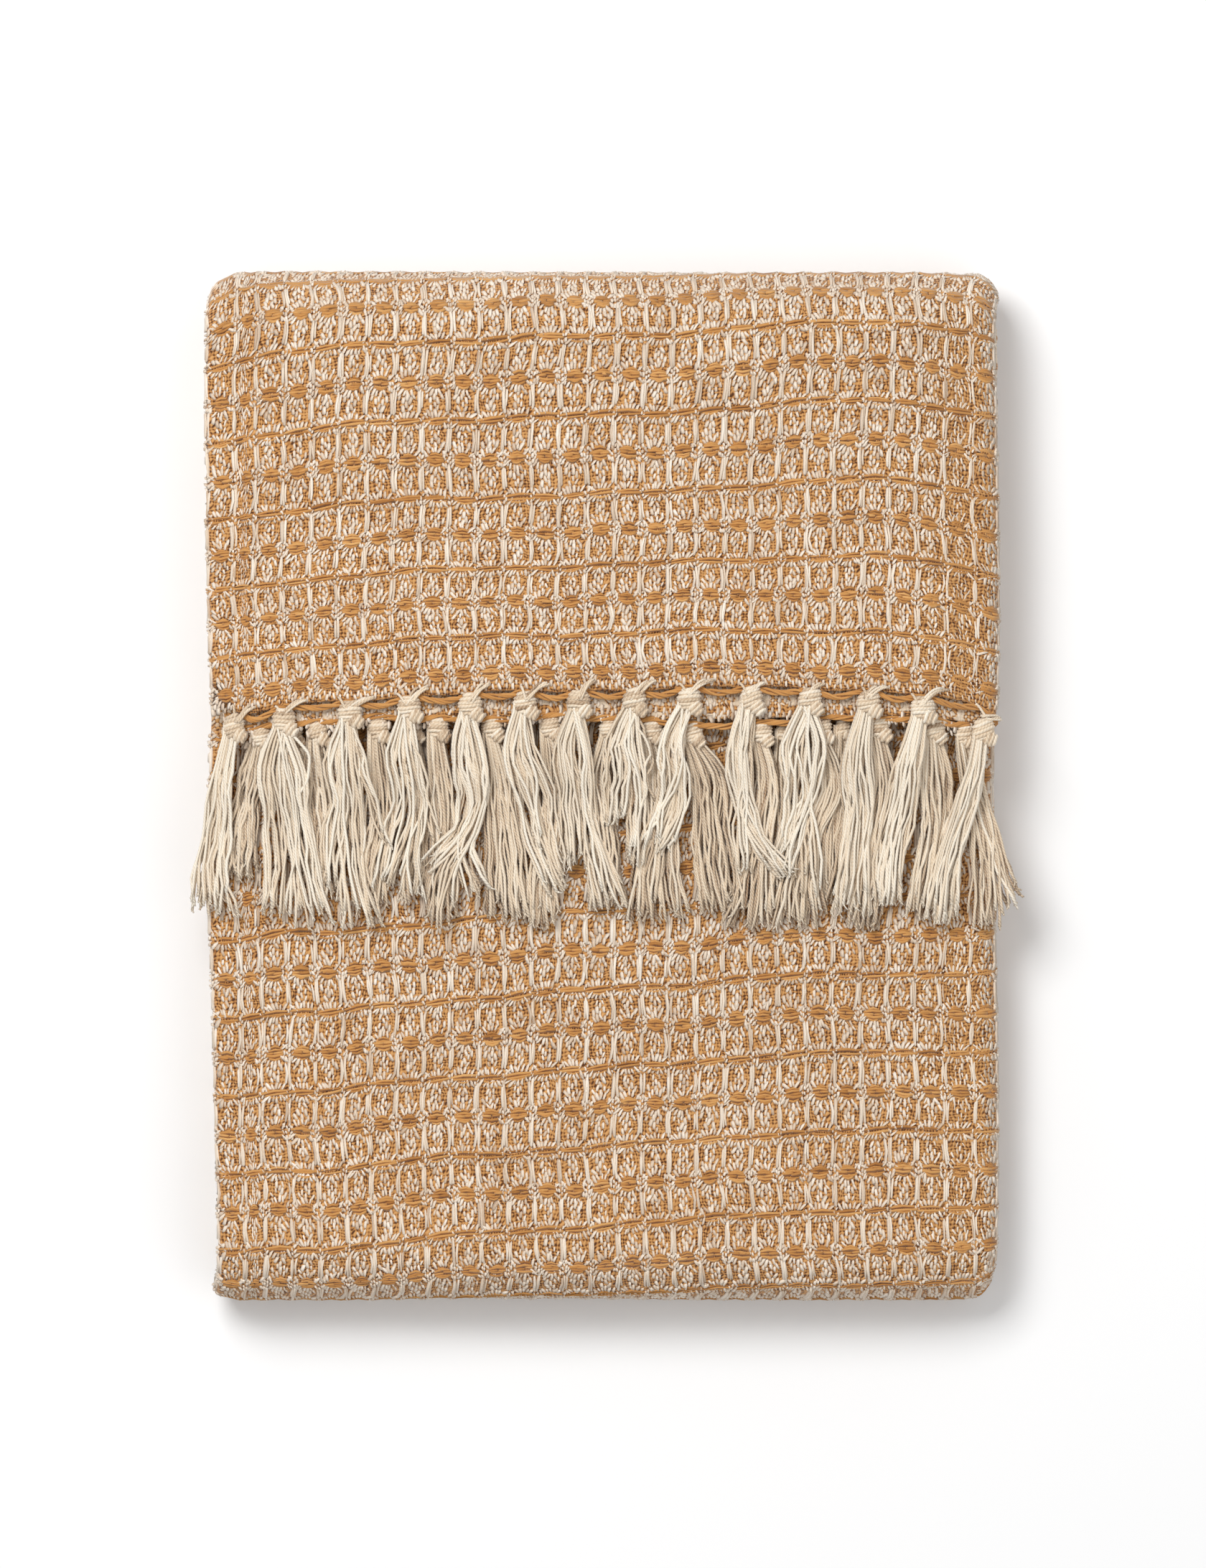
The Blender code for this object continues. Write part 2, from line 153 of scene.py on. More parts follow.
# How far the rows are drawn down or up. Columns: x, shift
ROW_BOW = np.array([
    (-0.1700, -0.0130), (-0.1480, -0.0112), (-0.1300, -0.0078), (-0.0850, -0.0038), (-0.0200, -0.0015),
    (0.0500, 0.0000), (0.1050, -0.0008), (0.1350, -0.0042), (0.1530, -0.0088), (0.1700, -0.0120)])
EVEN_X = np.linspace(-0.19, 0.19, 381)
SPREAD = np.hanning(23)


def from_table(table, x, column=1):
    """A column of a table at any x between its rows."""
    return np.interp(x, table[:, 0], table[:, column])


def softened(table):
    """A table's shifts at even steps across the cloth, with their corners rounded off."""
    rough = np.pad(from_table(table, EVEN_X), len(SPREAD) // 2, mode="edge")
    return np.convolve(rough, SPREAD / SPREAD.sum(), mode="valid")


BOW_SHIFT = softened(ROW_BOW)


def bow(x):
    """How far a row is drawn along the cloth at this x."""
    return np.interp(x, EVEN_X, BOW_SHIFT)


def smooth(share):
    """An even rise from 0 to 1 with level ends."""
    share = np.clip(share, 0.0, 1.0)
    return share * share * (3.0 - 2.0 * share)


print("rows drawn down at the left and right, mm:", np.round(1000 * bow(np.array([-0.15, 0.15])), 1))

# %% How the soft stack settles, the same as the solid
CROWN_DROP = 0.030
RIGHT_ROLL, RIGHT_DROP = 0.036, 0.200
LEFT_ROLL, LEFT_DROP = 0.014, 0.060
TROUGH_X, TROUGH_HALF_WIDTH, TROUGH_DEPTH, TROUGH_END_Y = -0.1460, 0.011, 0.050, 0.045
FLAP_SAG, FLAP_SAG_END_Y, FLAP_SAG_LENGTH = 0.15, 0.025, 0.035
CORNER_SPAN, CORNER_REACH = 0.014, 0.060
TOP_LEFT_CORNER, OTHER_CORNERS = 0.0060, 0.0020
LOWER_LEFT_INSET, INSET_LENGTH = 0.0022, 0.12
EDGE_WAVER, WAVER_HEIGHT, WAVER_DEPTH = 0.0012, 0.041, 0.300


def settle(x, y, z):
    """Moves places of the square-cut stack to where its weight and corners take them."""
    right = smooth((x - (HALF_WIDTH - RIGHT_ROLL)) / RIGHT_ROLL)
    left = smooth((-x - (HALF_WIDTH - LEFT_ROLL)) / LEFT_ROLL)
    fade = smooth((y - TROUGH_END_Y) / (TOP_BEND_Y - TROUGH_END_Y))
    trough = TROUGH_DEPTH * fade * np.exp(-((x - TROUGH_X) / TROUGH_HALF_WIDTH) ** 2)
    crown = CROWN_DROP * np.minimum(np.abs(x) / HALF_WIDTH, 1.0) ** 2
    loft = 1.0 - crown - trough - RIGHT_DROP * right - LEFT_DROP * left
    sag = FLAP_SAG * smooth(1.0 - (y - FLAP_SAG_END_Y) / FLAP_SAG_LENGTH)
    z = np.where(z > FRONT_TOP, FRONT_TOP + (z - FRONT_TOP) * (1.0 - sag), z)
    z = (z - FLOOR_GAP) * loft
    to_side = np.clip((np.abs(x) - (HALF_WIDTH - CORNER_SPAN)) / CORNER_SPAN, 0.0, 1.3)
    to_end = smooth((np.abs(y) - (HALF_DEPTH - CORNER_REACH)) / CORNER_REACH)
    corner = np.where((x < 0) & (y > 0), TOP_LEFT_CORNER, OTHER_CORNERS)
    inset = LOWER_LEFT_INSET * smooth(-y / INSET_LENGTH) * smooth(-x / HALF_WIDTH)
    y = y - np.copysign(corner * to_side ** 2 * to_end, y)
    waver = EDGE_WAVER * np.sin(2 * math.pi * (z / WAVER_HEIGHT + y / WAVER_DEPTH))
    return np.stack([x + inset + waver, y, z], axis=-1)


print("a corner of the stack settles to:", np.round(settle(np.array(0.16), np.array(0.2), np.array(0.06)), 4))

# %% The weave's repeat, and how the cloth is eased on its folds
# A cell has 8 warps. A row of lines and a row of clusters take turns, 10.5 picks apart
CELL_WARPS, ROW_PICKS = 8, 10.5
REPEAT_PICKS = 21
CELL, ROW = 0.01116, 0.0160
WARP, PICK = CELL / CELL_WARPS, ROW / ROW_PICKS
FIRST_BAR_X, FIRST_LINE_ROW = -0.0614, 0.0240
BAR_AT = FIRST_BAR_X - LEFT_FOLD_X + LEFT_TURN
EDGE_DRAW, EDGE_DRAW_LENGTH = 0.0090, 0.095
UNDER_EASE, UNDER_EASE_END = 0.0178, 0.12
FLAP_RIGHT_EASE, FLAP_EASE_LENGTH = 0.0085, 0.10
SHOWN_FRONT = FRONT_START + 0.230
# How much further up the front panel's rows are drawn. Columns: x, shift
FRONT_BOW = np.array([
    (-0.170, 0.0062), (-0.148, 0.0058), (-0.130, 0.0042), (-0.108, 0.0022), (-0.054, 0.0048), (0.034, 0.0080),
    (0.070, 0.0114), (0.102, 0.0124), (0.131, 0.0157), (0.153, 0.0212), (0.170, 0.0240)])
FRONT_SHIFT = softened(FRONT_BOW)
# Slow unevenness of the laid cloth. Columns: height, length along the cloth, length across it
WAVES_ACROSS = ((0.0005, 0.083, 0.41), (0.0003, 0.031, -0.19))
WAVES_ALONG = ((0.0006, 0.21, 0.093), (0.0004, -0.50, 0.037))
# The soft crease beside the flap's left fold: where it is pinched, how deep it is and where it runs
pinch_at = TROUGH_X - LEFT_FOLD_X + LEFT_TURN
PINCH, PINCH_WIDTH = 0.0026, 0.008
CREASE_DEPTH, CREASE_HALF_WIDTH = 0.0028, 0.0026
CREASE_START, CREASE_END, CREASE_FADE_IN, CREASE_FADE_OUT = 0.022, 0.145, 0.03, 0.04
# The lowest layer is lifted a little, so that its stitches stand out under it and still clear the floor
LOW_LIFT, LOW_LIFT_HEIGHT, FLOOR_CLEAR = 0.0008, 0.0045, 0.0001


def waves(table, a, t):
    """The sum of a table's waves at a place on the cloth."""
    return sum(height * np.sin(2 * math.pi * (t / along + a / across)) for height, along, across in table)


def on_stack(a, t, lift=0.0):
    """The map: distances across and along the cloth, and height above its face, to a place in the stack."""
    a = a + PINCH * smooth((pinch_at + PINCH_WIDTH / 2 - a) / PINCH_WIDTH) * (a > -LEFT_TURN)
    a = a + waves(WAVES_ACROSS, a, t)
    t = t + waves(WAVES_ALONG, a, t)
    crease = smooth((t - CREASE_START) / CREASE_FADE_IN) * smooth((CREASE_END - t) / CREASE_FADE_OUT)
    lift = lift - CREASE_DEPTH * crease * np.exp(-((a - pinch_at) / CREASE_HALF_WIDTH) ** 2)
    x, height, face_x, face_up = across_strip(a)
    on_front = smooth((t - UNDER_START) / LONG_RUN)
    on_flap = smooth(t / FLAP_EASE_LENGTH) * (1 - on_front)
    eased = on_front * (1 - smooth((t - SHOWN_FRONT) / UNDER_EASE_END))
    drawn = (UNDER_EASE + np.interp(x, EVEN_X, FRONT_SHIFT)) * eased
    drawn = drawn + FLAP_RIGHT_EASE * smooth(x / HALF_WIDTH) * on_flap
    b = t - EDGE_DRAW * smooth(t / EDGE_DRAW_LENGTH) + drawn + bow(x)
    y, z, out_y, out_z = along_strip(b)
    reach = height + lift * face_up
    place = settle(x + lift * face_x, y + reach * out_y, z + reach * out_z)
    place[..., 2] += LOW_LIFT * (1 - smooth(place[..., 2] / LOW_LIFT_HEIGHT))
    place[..., 2] = np.maximum(place[..., 2], FLOOR_CLEAR)
    return place + SHIFT


SHIFT = np.zeros(3)
sample_a, sample_t = np.meshgrid(np.linspace(-OTHER_HALF, HALF_CLOTH, 700), np.linspace(0.0, CLOTH_END, 300))
rough = np.concatenate([on_stack(sample_a, sample_t, side * SHEET / 2).reshape(-1, 3) for side in (-1, 1)])
solid_low, solid_high = (np.array(corner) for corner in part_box("blanket"))
SHIFT = (solid_low + solid_high) / 2 - (rough.min(axis=0) + rough.max(axis=0)) / 2
SHIFT[2] = 0.0
print("map against the solid, mm:", np.round(1000 * SHIFT, 2), np.round(1000 * (solid_high - solid_low), 1),
      np.round(1000 * (rough.max(axis=0) - rough.min(axis=0)), 1))

# %% [markdown]
# ## The materials
# Cotton is matt, so every finish here is rough. The stitches and yarns are real shapes, and the materials
# give them what is smaller than that: the twist of the plies, with painted shade in their grooves, fibres,
# and the slight difference of one yarn from the next, which each stitch carries as an attribute. On the
# tassels that attribute also carries painted shade: lower yarns of a bundle, the rows under the flap and the
# knots' cores are painted darker. Under the stitches the ground weave is a chart of the plain weave, worked
# out in the shader from the sheet's own UV map, where one unit is one warp across and one pick along, with
# painted shade in the gaps between yarns. Where the sheet has few stitches or none, underneath and inside the
# roll, the chart shows the cream warp as well.

# %% Small helpers for shader nodes
def node(tree, kind, links=None, **values):
    """Adds a shader node, sets its properties and inputs, and links the given sockets to its inputs."""
    made = tree.nodes.new("ShaderNode" + kind)
    for name, value in values.items():
        if hasattr(made, name):
            setattr(made, name, value)
        else:
            made.inputs[name.replace("_", " ")].default_value = value
    for slot, socket in (links or {}).items():
        tree.links.new(socket, made.inputs[slot])
    return made


class Flow:
    """A number that flows through a shader. Each step of arithmetic on it adds one Math node."""

    def __init__(self, tree, socket):
        self.tree, self.socket = tree, socket

    def step(self, operation, other=None):
        """One Math node on this number, and on another where the operation needs two."""
        made = self.tree.nodes.new("ShaderNodeMath")
        made.operation = operation
        self.tree.links.new(self.socket, made.inputs[0])
        if isinstance(other, Flow):
            self.tree.links.new(other.socket, made.inputs[1])
        elif other is not None:
            made.inputs[1].default_value = other
        return Flow(self.tree, made.outputs[0])

    def __add__(self, other):
        return self.step("ADD", other)

    def __sub__(self, other):
        return self.step("SUBTRACT", other)

    def __mul__(self, other):
        return self.step("MULTIPLY", other)

    def wave(self, operation, length):
        """Its sine or cosine, with waves of this length."""
        return (self * (2 * math.pi / length)).step(operation)

    def within(self, low, high):
        """0 below the low value, 1 above the high one."""
        return ((self - low) * (1.0 / (high - low))).step("MAXIMUM", 0.0).step("MINIMUM", 1.0)


def noise(tree, scale, detail, roughness=0.5):
    """Noise through the piece, with this many patches to a metre."""
    where = node(tree, "TexCoord").outputs["Object"]
    made = node(tree, "TexNoise", {"Vector": where}, Scale=scale, Detail=detail, Roughness=roughness)
    return Flow(tree, made.outputs["Fac"])


def attribute(tree, name):
    """A value that each vertex of the piece carries."""
    return Flow(tree, node(tree, "Attribute", attribute_name=name).outputs["Fac"])


def on_map(tree):
    """Both directions of the piece's own UV map."""
    parts = node(tree, "SeparateXYZ", {"Vector": node(tree, "UVMap", uv_map="UVMap").outputs["UV"]})
    return Flow(tree, parts.outputs["X"]), Flow(tree, parts.outputs["Y"])


def ramp(flow, first, *middle, last):
    """Colours laid along a value. Each stop has a position and a colour."""
    made = node(flow.tree, "ValToRGB", {"Fac": flow.socket})
    stops = made.color_ramp.elements
    stops[0].position, stops[0].color = first
    stops[1].position, stops[1].color = last
    for position, shade in middle:
        stops.new(position).color = shade
    return made.outputs["Color"]


def colour(red, green, blue):
    """A colour as it is seen on a screen, 0 to 255, made linear for the shader."""
    return [((c / 255 + 0.055) / 1.055) ** 2.4 if c > 10 else c / 3294 for c in (red, green, blue)] + [1.0]


def cotton(name, sheen=0.25):
    """A new matt material with a soft sheen, and its node tree."""
    made = bpy.data.materials.new(name)
    made.use_nodes = True
    shader = made.node_tree.nodes["Principled BSDF"]
    for socket, value in (("Roughness", 0.85), ("Specular IOR Level", 0.25), ("Sheen Weight", sheen),
                          ("Sheen Roughness", 0.5)):
        shader.inputs[socket].default_value = value
    return made, made.node_tree


def dress(tree, shade, height, strength, depth):
    """Gives a material its colour, and a bump from a height."""
    shader = tree.nodes["Principled BSDF"]
    bump = node(tree, "Bump", {"Height": height.socket}, Strength=strength, Distance=depth)
    tree.links.new(shade, shader.inputs["Base Color"])
    tree.links.new(bump.outputs["Normal"], shader.inputs["Normal"])


print("mustard in linear light:", [round(c, 3) for c in colour(196, 141, 79)[:3]])

# %% Stitch yarns: cream warp and mustard weft
# Shares of a stitch's own tone, of its fibres and of slow patches in its colour
OWN_TONE, FINE_FIBRES, SLOW_PATCHES = 0.62, 0.38, 0.35


def stitch_cotton(name, dark, middle, light):
    """Yarn of a stitch: its colour follows its own tone, with fine fibres across it and slow patches."""
    made, tree = cotton(name)
    fibres = noise(tree, 1400.0, 3.0, 0.7)
    mixed = attribute(tree, "tone") * OWN_TONE + fibres * FINE_FIBRES
    mixed = mixed + (noise(tree, 38.0, 2.0) - 0.5) * SLOW_PATCHES
    shade = ramp(mixed, (0.15, colour(*dark)), (0.5, colour(*middle)), last=(0.90, colour(*light)))
    dress(tree, shade, fibres, 0.35, 0.0002)
    return made


cream_stitch = stitch_cotton("cream_warp_cotton", (196, 168, 140), (229, 212, 192), (247, 237, 224))
mustard_stitch = stitch_cotton("mustard_weft_cotton", (160, 105, 50), (196, 141, 79), (217, 168, 106))
print("stitch materials:", cream_stitch.name, mustard_stitch.name)

# %% Ground weave under the stitches
WIGGLE = 0.46
SHIFT_IN_THREADS = 3.2
# How much the crossings, the fibres and slow patches change the mustard. The crossings where the warp lies on
# top
# are painted darker: painted shade beside the stitches
CROSSING_SHARE, FIBRE_SHARE, PATCH_SHARE = 0.30, 0.4, 0.9
# Cream shows on bare ground where these waves are high: on crossings and on bars, but not on rows
ON_CROSSINGS, ON_BARS, ON_ROWS = (-0.05, 0.45), (0.55, 0.80), (0.70, 0.85)


def ground_weave(name):
    """Plain weave charted on the UV map: mustard picks that pass over the warps, with painted shade in the
    gaps.
    """
    made, tree = cotton(name)
    across, along = on_map(tree)
    shift = (noise(tree, 170.0, 2.0) - 0.5) * SHIFT_IN_THREADS
    warps, picks = across + shift, along.step("FLOORED_MODULO", REPEAT_PICKS) + shift
    warps = warps - warps.wave("SINE", CELL_WARPS) * picks.wave("COSINE", ROW_PICKS) * WIGGLE
    over_warp, over_pick = warps.wave("COSINE", 2.0), picks.wave("SINE", 2.0)
    over = over_warp * over_pick
    weft = (over_warp * over_warp + over_pick * over_pick) * 0.5 - over * CROSSING_SHARE
    weft = weft + (noise(tree, 900.0, 3.0, 0.7) - 0.5) * FIBRE_SHARE
    weft = weft + (noise(tree, 330.0, 1.0) - 0.5) * PATCH_SHARE
    # Painted shade: the dark brown stops are the shade in the gaps between yarns and beside the stitches; the
    # upper stops are the mustard's own colour
    mustard = ramp(weft, (0.07, colour(82, 48, 22)), (0.34, colour(156, 104, 56)),
                   (0.60, colour(193, 141, 83)), last=(0.92, colour(207, 156, 98)))
    flecks = over.within(*ON_CROSSINGS)
    bars = warps.wave("COSINE", CELL_WARPS).within(*ON_BARS)
    off_rows = picks.wave("COSINE", ROW_PICKS).within(*ON_ROWS) * -1.0 + 1.0
    cream = flecks.step("MAXIMUM", bars) * off_rows * attribute(tree, "bare")
    both = node(tree, "MixRGB", {"Fac": cream.socket, "Color1": mustard}, Color2=colour(224, 205, 180))
    dress(tree, both.outputs["Color"], weft, 0.6, 0.0005)
    return made


ground = ground_weave("ground_weave_cotton")
print("ground material:", ground.name)

# %% Fringe yarn: cream plies twisted together
PLY_TURNS = 0.34
# Shares of a yarn's own tone, of its plies and of its fibres in its colour. The plies' share is painted shade
# in the grooves between the plies
YARN_TONE, YARN_PLIES, YARN_FIBRES = 0.60, 0.15, 0.25


def fringe_cotton(name):
    """Plied cream yarn: the UV map runs in millimetres along a strand and once round it."""
    made, tree = cotton(name, sheen=0.3)
    along, around = on_map(tree)
    plies = (along * PLY_TURNS + around).wave("SINE", 1.0).step("ABSOLUTE")
    fibres = noise(tree, 1100.0, 3.0, 0.7)
    mixed = attribute(tree, "tone") * YARN_TONE + plies * YARN_PLIES + fibres * YARN_FIBRES
    # Painted shade: the dark warm stop is the shade deep among the yarns, which the yarns painted low in tone
    # reach
    shade = ramp(mixed, (0.10, colour(136, 98, 60)), (0.48, colour(227, 207, 180)),
                 last=(0.88, colour(247, 238, 222)))
    dress(tree, shade, plies + fibres * 0.5, 0.5, 0.0003)
    return made


fringe = fringe_cotton("cream_fringe_cotton")
print("fringe material:", fringe.name)

# %% [markdown]
# ## The sheet
# The throw itself is one thin sheet. A plane grid from bmesh is laid on the map, with four vertices to a
# waffle cell where the cloth shows and far fewer inside the roll, and Solidify gives it its thickness and
# closes its edges. The waffle is a real relief: a ridge under each bar and each row, and a hollow in the
# middle of each cell.

# %% Relief and grid lines
WAFFLE_ACROSS, WAFFLE_ALONG, FLATTENED = 0.00034, 0.00026, 0.75
# How far the outer layer's relief runs past its two folds, and over what length it fades
PAST_LEFT_FOLD, PAST_RIGHT_FOLD, RELIEF_FADE = 0.008, 0.004, 0.006
FLOOR_FADE, FLOOR_END_GAP = 0.008, 0.032
panel_end = LEFT_TURN + PANEL
fold_end = panel_end + OUTER_TURN


def outside(a):
    """1 on the strip's outer layer, 0 on the layers inside it."""
    past_left = smooth((a + PAST_LEFT_FOLD) / RELIEF_FADE)
    return past_left * smooth((fold_end + PAST_RIGHT_FOLD - a) / RELIEF_FADE)


def underneath(t):
    """1 where the stack lies on the floor."""
    after_bend = smooth((t - UNDER_START - FLOOR_FADE) / FLOOR_FADE)
    return after_bend * smooth((UNDER_END - FLOOR_END_GAP - t) / FLOOR_FADE)


def waffle(a, t):
    """Height of the waffle's ridges and hollows. Only the outer layer has them, flatter on the floor."""
    ridges = WAFFLE_ACROSS * np.cos(2 * math.pi * (a - BAR_AT) / CELL)
    ridges = ridges + WAFFLE_ALONG * np.cos(2 * math.pi * (t - FIRST_LINE_ROW) / ROW)
    return outside(a) * (1 - FLATTENED * underneath(t)) * ridges


def spaced(*stretches):
    """Grid lines: each stretch runs to its end in steps of about the given size."""
    lines = [stretches[0]]
    for end, step in stretches[1:]:
        count = max(int(round((end - lines[-1]) / step)), 1)
        lines += list(np.linspace(lines[-1], end, count + 1)[1:])
    return np.array(lines)


across_lines = spaced(
    -OTHER_HALF, (-panel_end - INNER_TURN - 0.04, 0.09), (-panel_end - INNER_TURN, 0.02),
    (-panel_end, 0.0015), (-panel_end + 0.04, 0.013), (-0.012, 0.09), (-LEFT_TURN, 0.004),
    (LEFT_TURN, 0.0012), (panel_end, CELL / 4), (fold_end, 0.0022), (fold_end + 0.04, 0.010),
    (HALF_CLOTH, 0.09))
under_seen = UNDER_END - 0.036
along_lines = spaced(
    0.0, (0.004, 0.002), (UNDER_START + 0.012, ROW / 4), (under_seen, ROW / 2), (SHOWN_FRONT, ROW / 4),
    (FRONT_END - 0.005, 0.03), (HIDDEN_START + 0.002, 0.0055), (CLOTH_END, 0.06))
print("grid lines across and along:", len(across_lines), len(along_lines))

# %% Small helpers for meshes
def mesh_from(bm, name):
    """A new mesh made from a bmesh."""
    mesh = bpy.data.meshes.new(name)
    bm.to_mesh(mesh)
    bm.free()
    return mesh


def lay(mesh, places):
    """Moves the vertices of a mesh to these places."""
    mesh.vertices.foreach_set("co", places.astype(np.float32).ravel())


def mark(mesh, name, values):
    """Gives each vertex a value, which a material can read."""
    mesh.attributes.new(name, "FLOAT", "POINT").data.foreach_set("value", values.astype(np.float32).ravel())


def uv_from(mesh, u, v):
    """Writes a UV map from one pair of numbers for each vertex."""
    corners = np.empty(len(mesh.loops), dtype=np.int32)
    mesh.loops.foreach_get("vertex_index", corners)
    layer = mesh.uv_layers.get("UVMap") or mesh.uv_layers.new(name="UVMap")
    pairs = np.stack([u.ravel()[corners], v.ravel()[corners]], axis=-1)
    layer.uv.foreach_set("vector", pairs.astype(np.float32).ravel())


def add_object(name, mesh, *materials):
    """A named object for a mesh, shaded smooth, with its materials."""
    for material in materials:
        mesh.materials.append(material)
    mesh.shade_smooth()
    obj = bpy.data.objects.new(name, mesh)
    bpy.context.scene.collection.objects.link(obj)
    return obj


def triangles(*pieces):
    """How many triangles these pieces have."""
    return sum(len(face.vertices) - 2 for piece in pieces for face in piece.data.polygons)


print("waffle's height over both ridges, mm:", round(2000 * (WAFFLE_ACROSS + WAFFLE_ALONG), 2))

# %% The sheet on its folds
CLOTH_THICKNESS = 0.0018
EDGE_REACH = 0.030
# The front's stitches stop this far before the part that shows ends
STITCH_STOP = 0.020


def edge_start(a):
    """How far before the face layer's edge each layer ends: the layers under the flap's face reach lower."""
    x = across_strip(a)[0]
    face, under = (from_table(FLAP_EDGE, x, column) - (EDGE_Y + bow(x)) for column in (1, 2))
    share = smooth((a - panel_end) / OUTER_TURN) + smooth((LEFT_TURN - a) / (2 * LEFT_TURN))
    return face + (under - face) * np.clip(share, 0.0, 1.0)


bm = bmesh.new()
bmesh.ops.create_grid(bm, x_segments=len(across_lines) - 1, y_segments=len(along_lines) - 1, size=1.0)
sheet_mesh = mesh_from(bm, "waffle_cloth")
grid_a, grid_t = np.meshgrid(across_lines, along_lines)
grid_t = grid_t + edge_start(grid_a) * (1.0 - smooth(grid_t / EDGE_REACH))
lay(sheet_mesh, on_stack(grid_a, grid_t, waffle(grid_a, grid_t)))
uv_from(sheet_mesh, (grid_a - BAR_AT) / WARP, (grid_t - FIRST_LINE_ROW) / PICK)
on_shown = smooth((SHOWN_FRONT - STITCH_STOP - grid_t) / RELIEF_FADE)
stitched = outside(grid_a) * (1 - underneath(grid_t)) * on_shown
mark(sheet_mesh, "bare", 1 - stitched)
cloth = add_object("waffle_cloth", sheet_mesh, ground)
thickness = cloth.modifiers.new("thickness", "SOLIDIFY")
thickness.thickness, thickness.offset = CLOTH_THICKNESS, 0.0
print("sheet faces:", len(sheet_mesh.polygons))

# %% [markdown]
# ## The stitches
# On the real cloth most of the pattern is yarn that floats over its neighbours: cream warp floats gather into
# a bar between two cells, mustard weft floats make the rows, and single warp stitches fan in towards each
# row. Painted on, they would look flat from the side, so each one is a small closed spindle. One repeat of
# the weave is made stitch by stitch from a chart, two Array modifiers repeat it, and the map bends it onto
# the folds.

# %% The chart of one repeat, in warps and picks
# Cream warp floats of a bar. Columns: warp, where it is gathered to, first pick, last pick, half width
BAR_FLOATS = ((0, 0.0, 1.4, 9.1, 0.56), (-1, -0.40, 2.0, 8.1, 0.52), (1, 0.42, 2.4, 8.5, 0.52))
BAR_FAN = 0.35
# Mustard weft floats. Columns: pick at the first end and at the last from the row's middle, rise of its arch
# in picks, first warp, last warp, half height in picks
LINE_FLOATS = ((0.15, 0.50, 0.36, -0.1, 7.8, 0.60), (-0.45, -0.15, -0.05, 0.3, 8.2, 0.60),
               (-0.85, -0.80, -0.46, 1.8, 6.2, 0.56))
CLUSTER_FLOATS = ((0.10, -0.05, 0.0, 1.2, 4.2, 0.66), (0.05, 0.10, 0.0, 3.8, 6.8, 0.66),
                  (0.50, 0.40, 0.46, 1.4, 6.6, 0.66), (-0.45, -0.55, -0.46, 1.4, 6.6, 0.66),
                  (1.10, 1.00, 0.62, 2.2, 5.8, 0.62), (-1.00, -1.15, -0.62, 2.2, 5.8, 0.62))
# Small cream stitches where a bar's column crosses a row. Columns: place across, picks from the row
LINE_DOTS = ((-0.42, -1.30), (0.40, -0.62), (-0.36, 0.18), (0.44, 0.88), (1.30, 1.42), (-1.36, -1.62))
CLUSTER_DOTS = ((-0.46, -1.55), (0.42, -0.92), (-0.40, -0.20), (0.44, 0.52), (-0.38, 1.22), (0.46, 1.86),
                (-1.34, -1.50), (1.30, -1.58), (-1.30, 1.54), (1.28, 1.20), (-1.20, 0.10), (1.22, -0.28))
# Cream stitches that fan out on both sides of a row. Columns: place across, picks from the row
LINE_FAN = ((1.35, 1.25), (2.30, 1.75), (3.30, 1.60), (4.25, 1.85), (5.35, 1.60), (6.55, 1.35))
CLUSTER_FAN = ((1.15, 1.35), (2.10, 2.25), (3.15, 2.75), (4.20, 2.95), (5.25, 2.65), (6.75, 1.45))
FAN_SIZE, FAN_LEAN = (0.52, 1.16, 0.00085), 0.26
# Where a warp lies beside its bar, between rows and at a row. Columns: warp, between rows, at a row
WARP_SWAY = np.array([(0, 0, 0), (1, 0.64, 1.30), (2, 1.85, 2.45), (3, 2.95, 3.30), (4, 4, 4),
                      (5, 5.05, 4.70), (6, 6.15, 5.55), (7, 7.36, 6.70), (8, 8, 8)], dtype=float)
GRAIN_LEAN = 2.6
# Round each row, this many picks of crossings are left to its own stitches. Columns: row, picks
FAN_BAND = ((0.0, 2.6), (ROW_PICKS, 3.4), (REPEAT_PICKS, 2.6))
# Half of the crossings next to a bar show only mustard weft
BESIDE_BAR = (2, 6)
# How far past its own size a float covers the crossings round it: along a bar, beside a rope and at its ends
BAR_CLEAR, ROPE_CLEAR, ROPE_END_CLEAR = 0.7, 0.62, 0.1


def warp_place(warp, pick):
    """Where a warp lies across its cell at this pick."""
    beside = warp % CELL_WARPS
    at_row = 0.5 + 0.5 * np.cos(2 * math.pi * pick / ROW_PICKS)
    between, near = (from_table(WARP_SWAY, beside, column) for column in (1, 2))
    return warp - beside + between + at_row * (near - between)


def covered(warp, pick):
    """Whether a float or a row's own stitches already lie over this crossing."""
    beside = warp % CELL_WARPS
    for row in (0.0, ROW_PICKS, REPEAT_PICKS):
        for bar, _, first, last, _ in BAR_FLOATS:
            if beside == bar % CELL_WARPS and row + first - BAR_CLEAR < pick < row + last + BAR_CLEAR:
                return True
    for middle, floats in ((0.0, LINE_FLOATS), (ROW_PICKS, CLUSTER_FLOATS), (REPEAT_PICKS, LINE_FLOATS)):
        for start, end, arch, first, last, _ in floats:
            near = abs(pick - middle - (start + end) / 2 - arch) < ROPE_CLEAR
            if near and first - ROPE_END_CLEAR < beside < last + ROPE_END_CLEAR:
                return True
    beside_bar = beside in BESIDE_BAR and pick % 4 < 2
    return beside_bar or any(abs(pick - row) < band for row, band in FAN_BAND)


under = sum(covered(warp, pick + 0.5) for warp in range(CELL_WARPS) for pick in range(REPEAT_PICKS))
print("crossings under a float:", under, "of", CELL_WARPS * REPEAT_PICKS)

# %% One repeat as closed spindles
TOP_OF_CLOTH = CLOTH_THICKNESS / 2
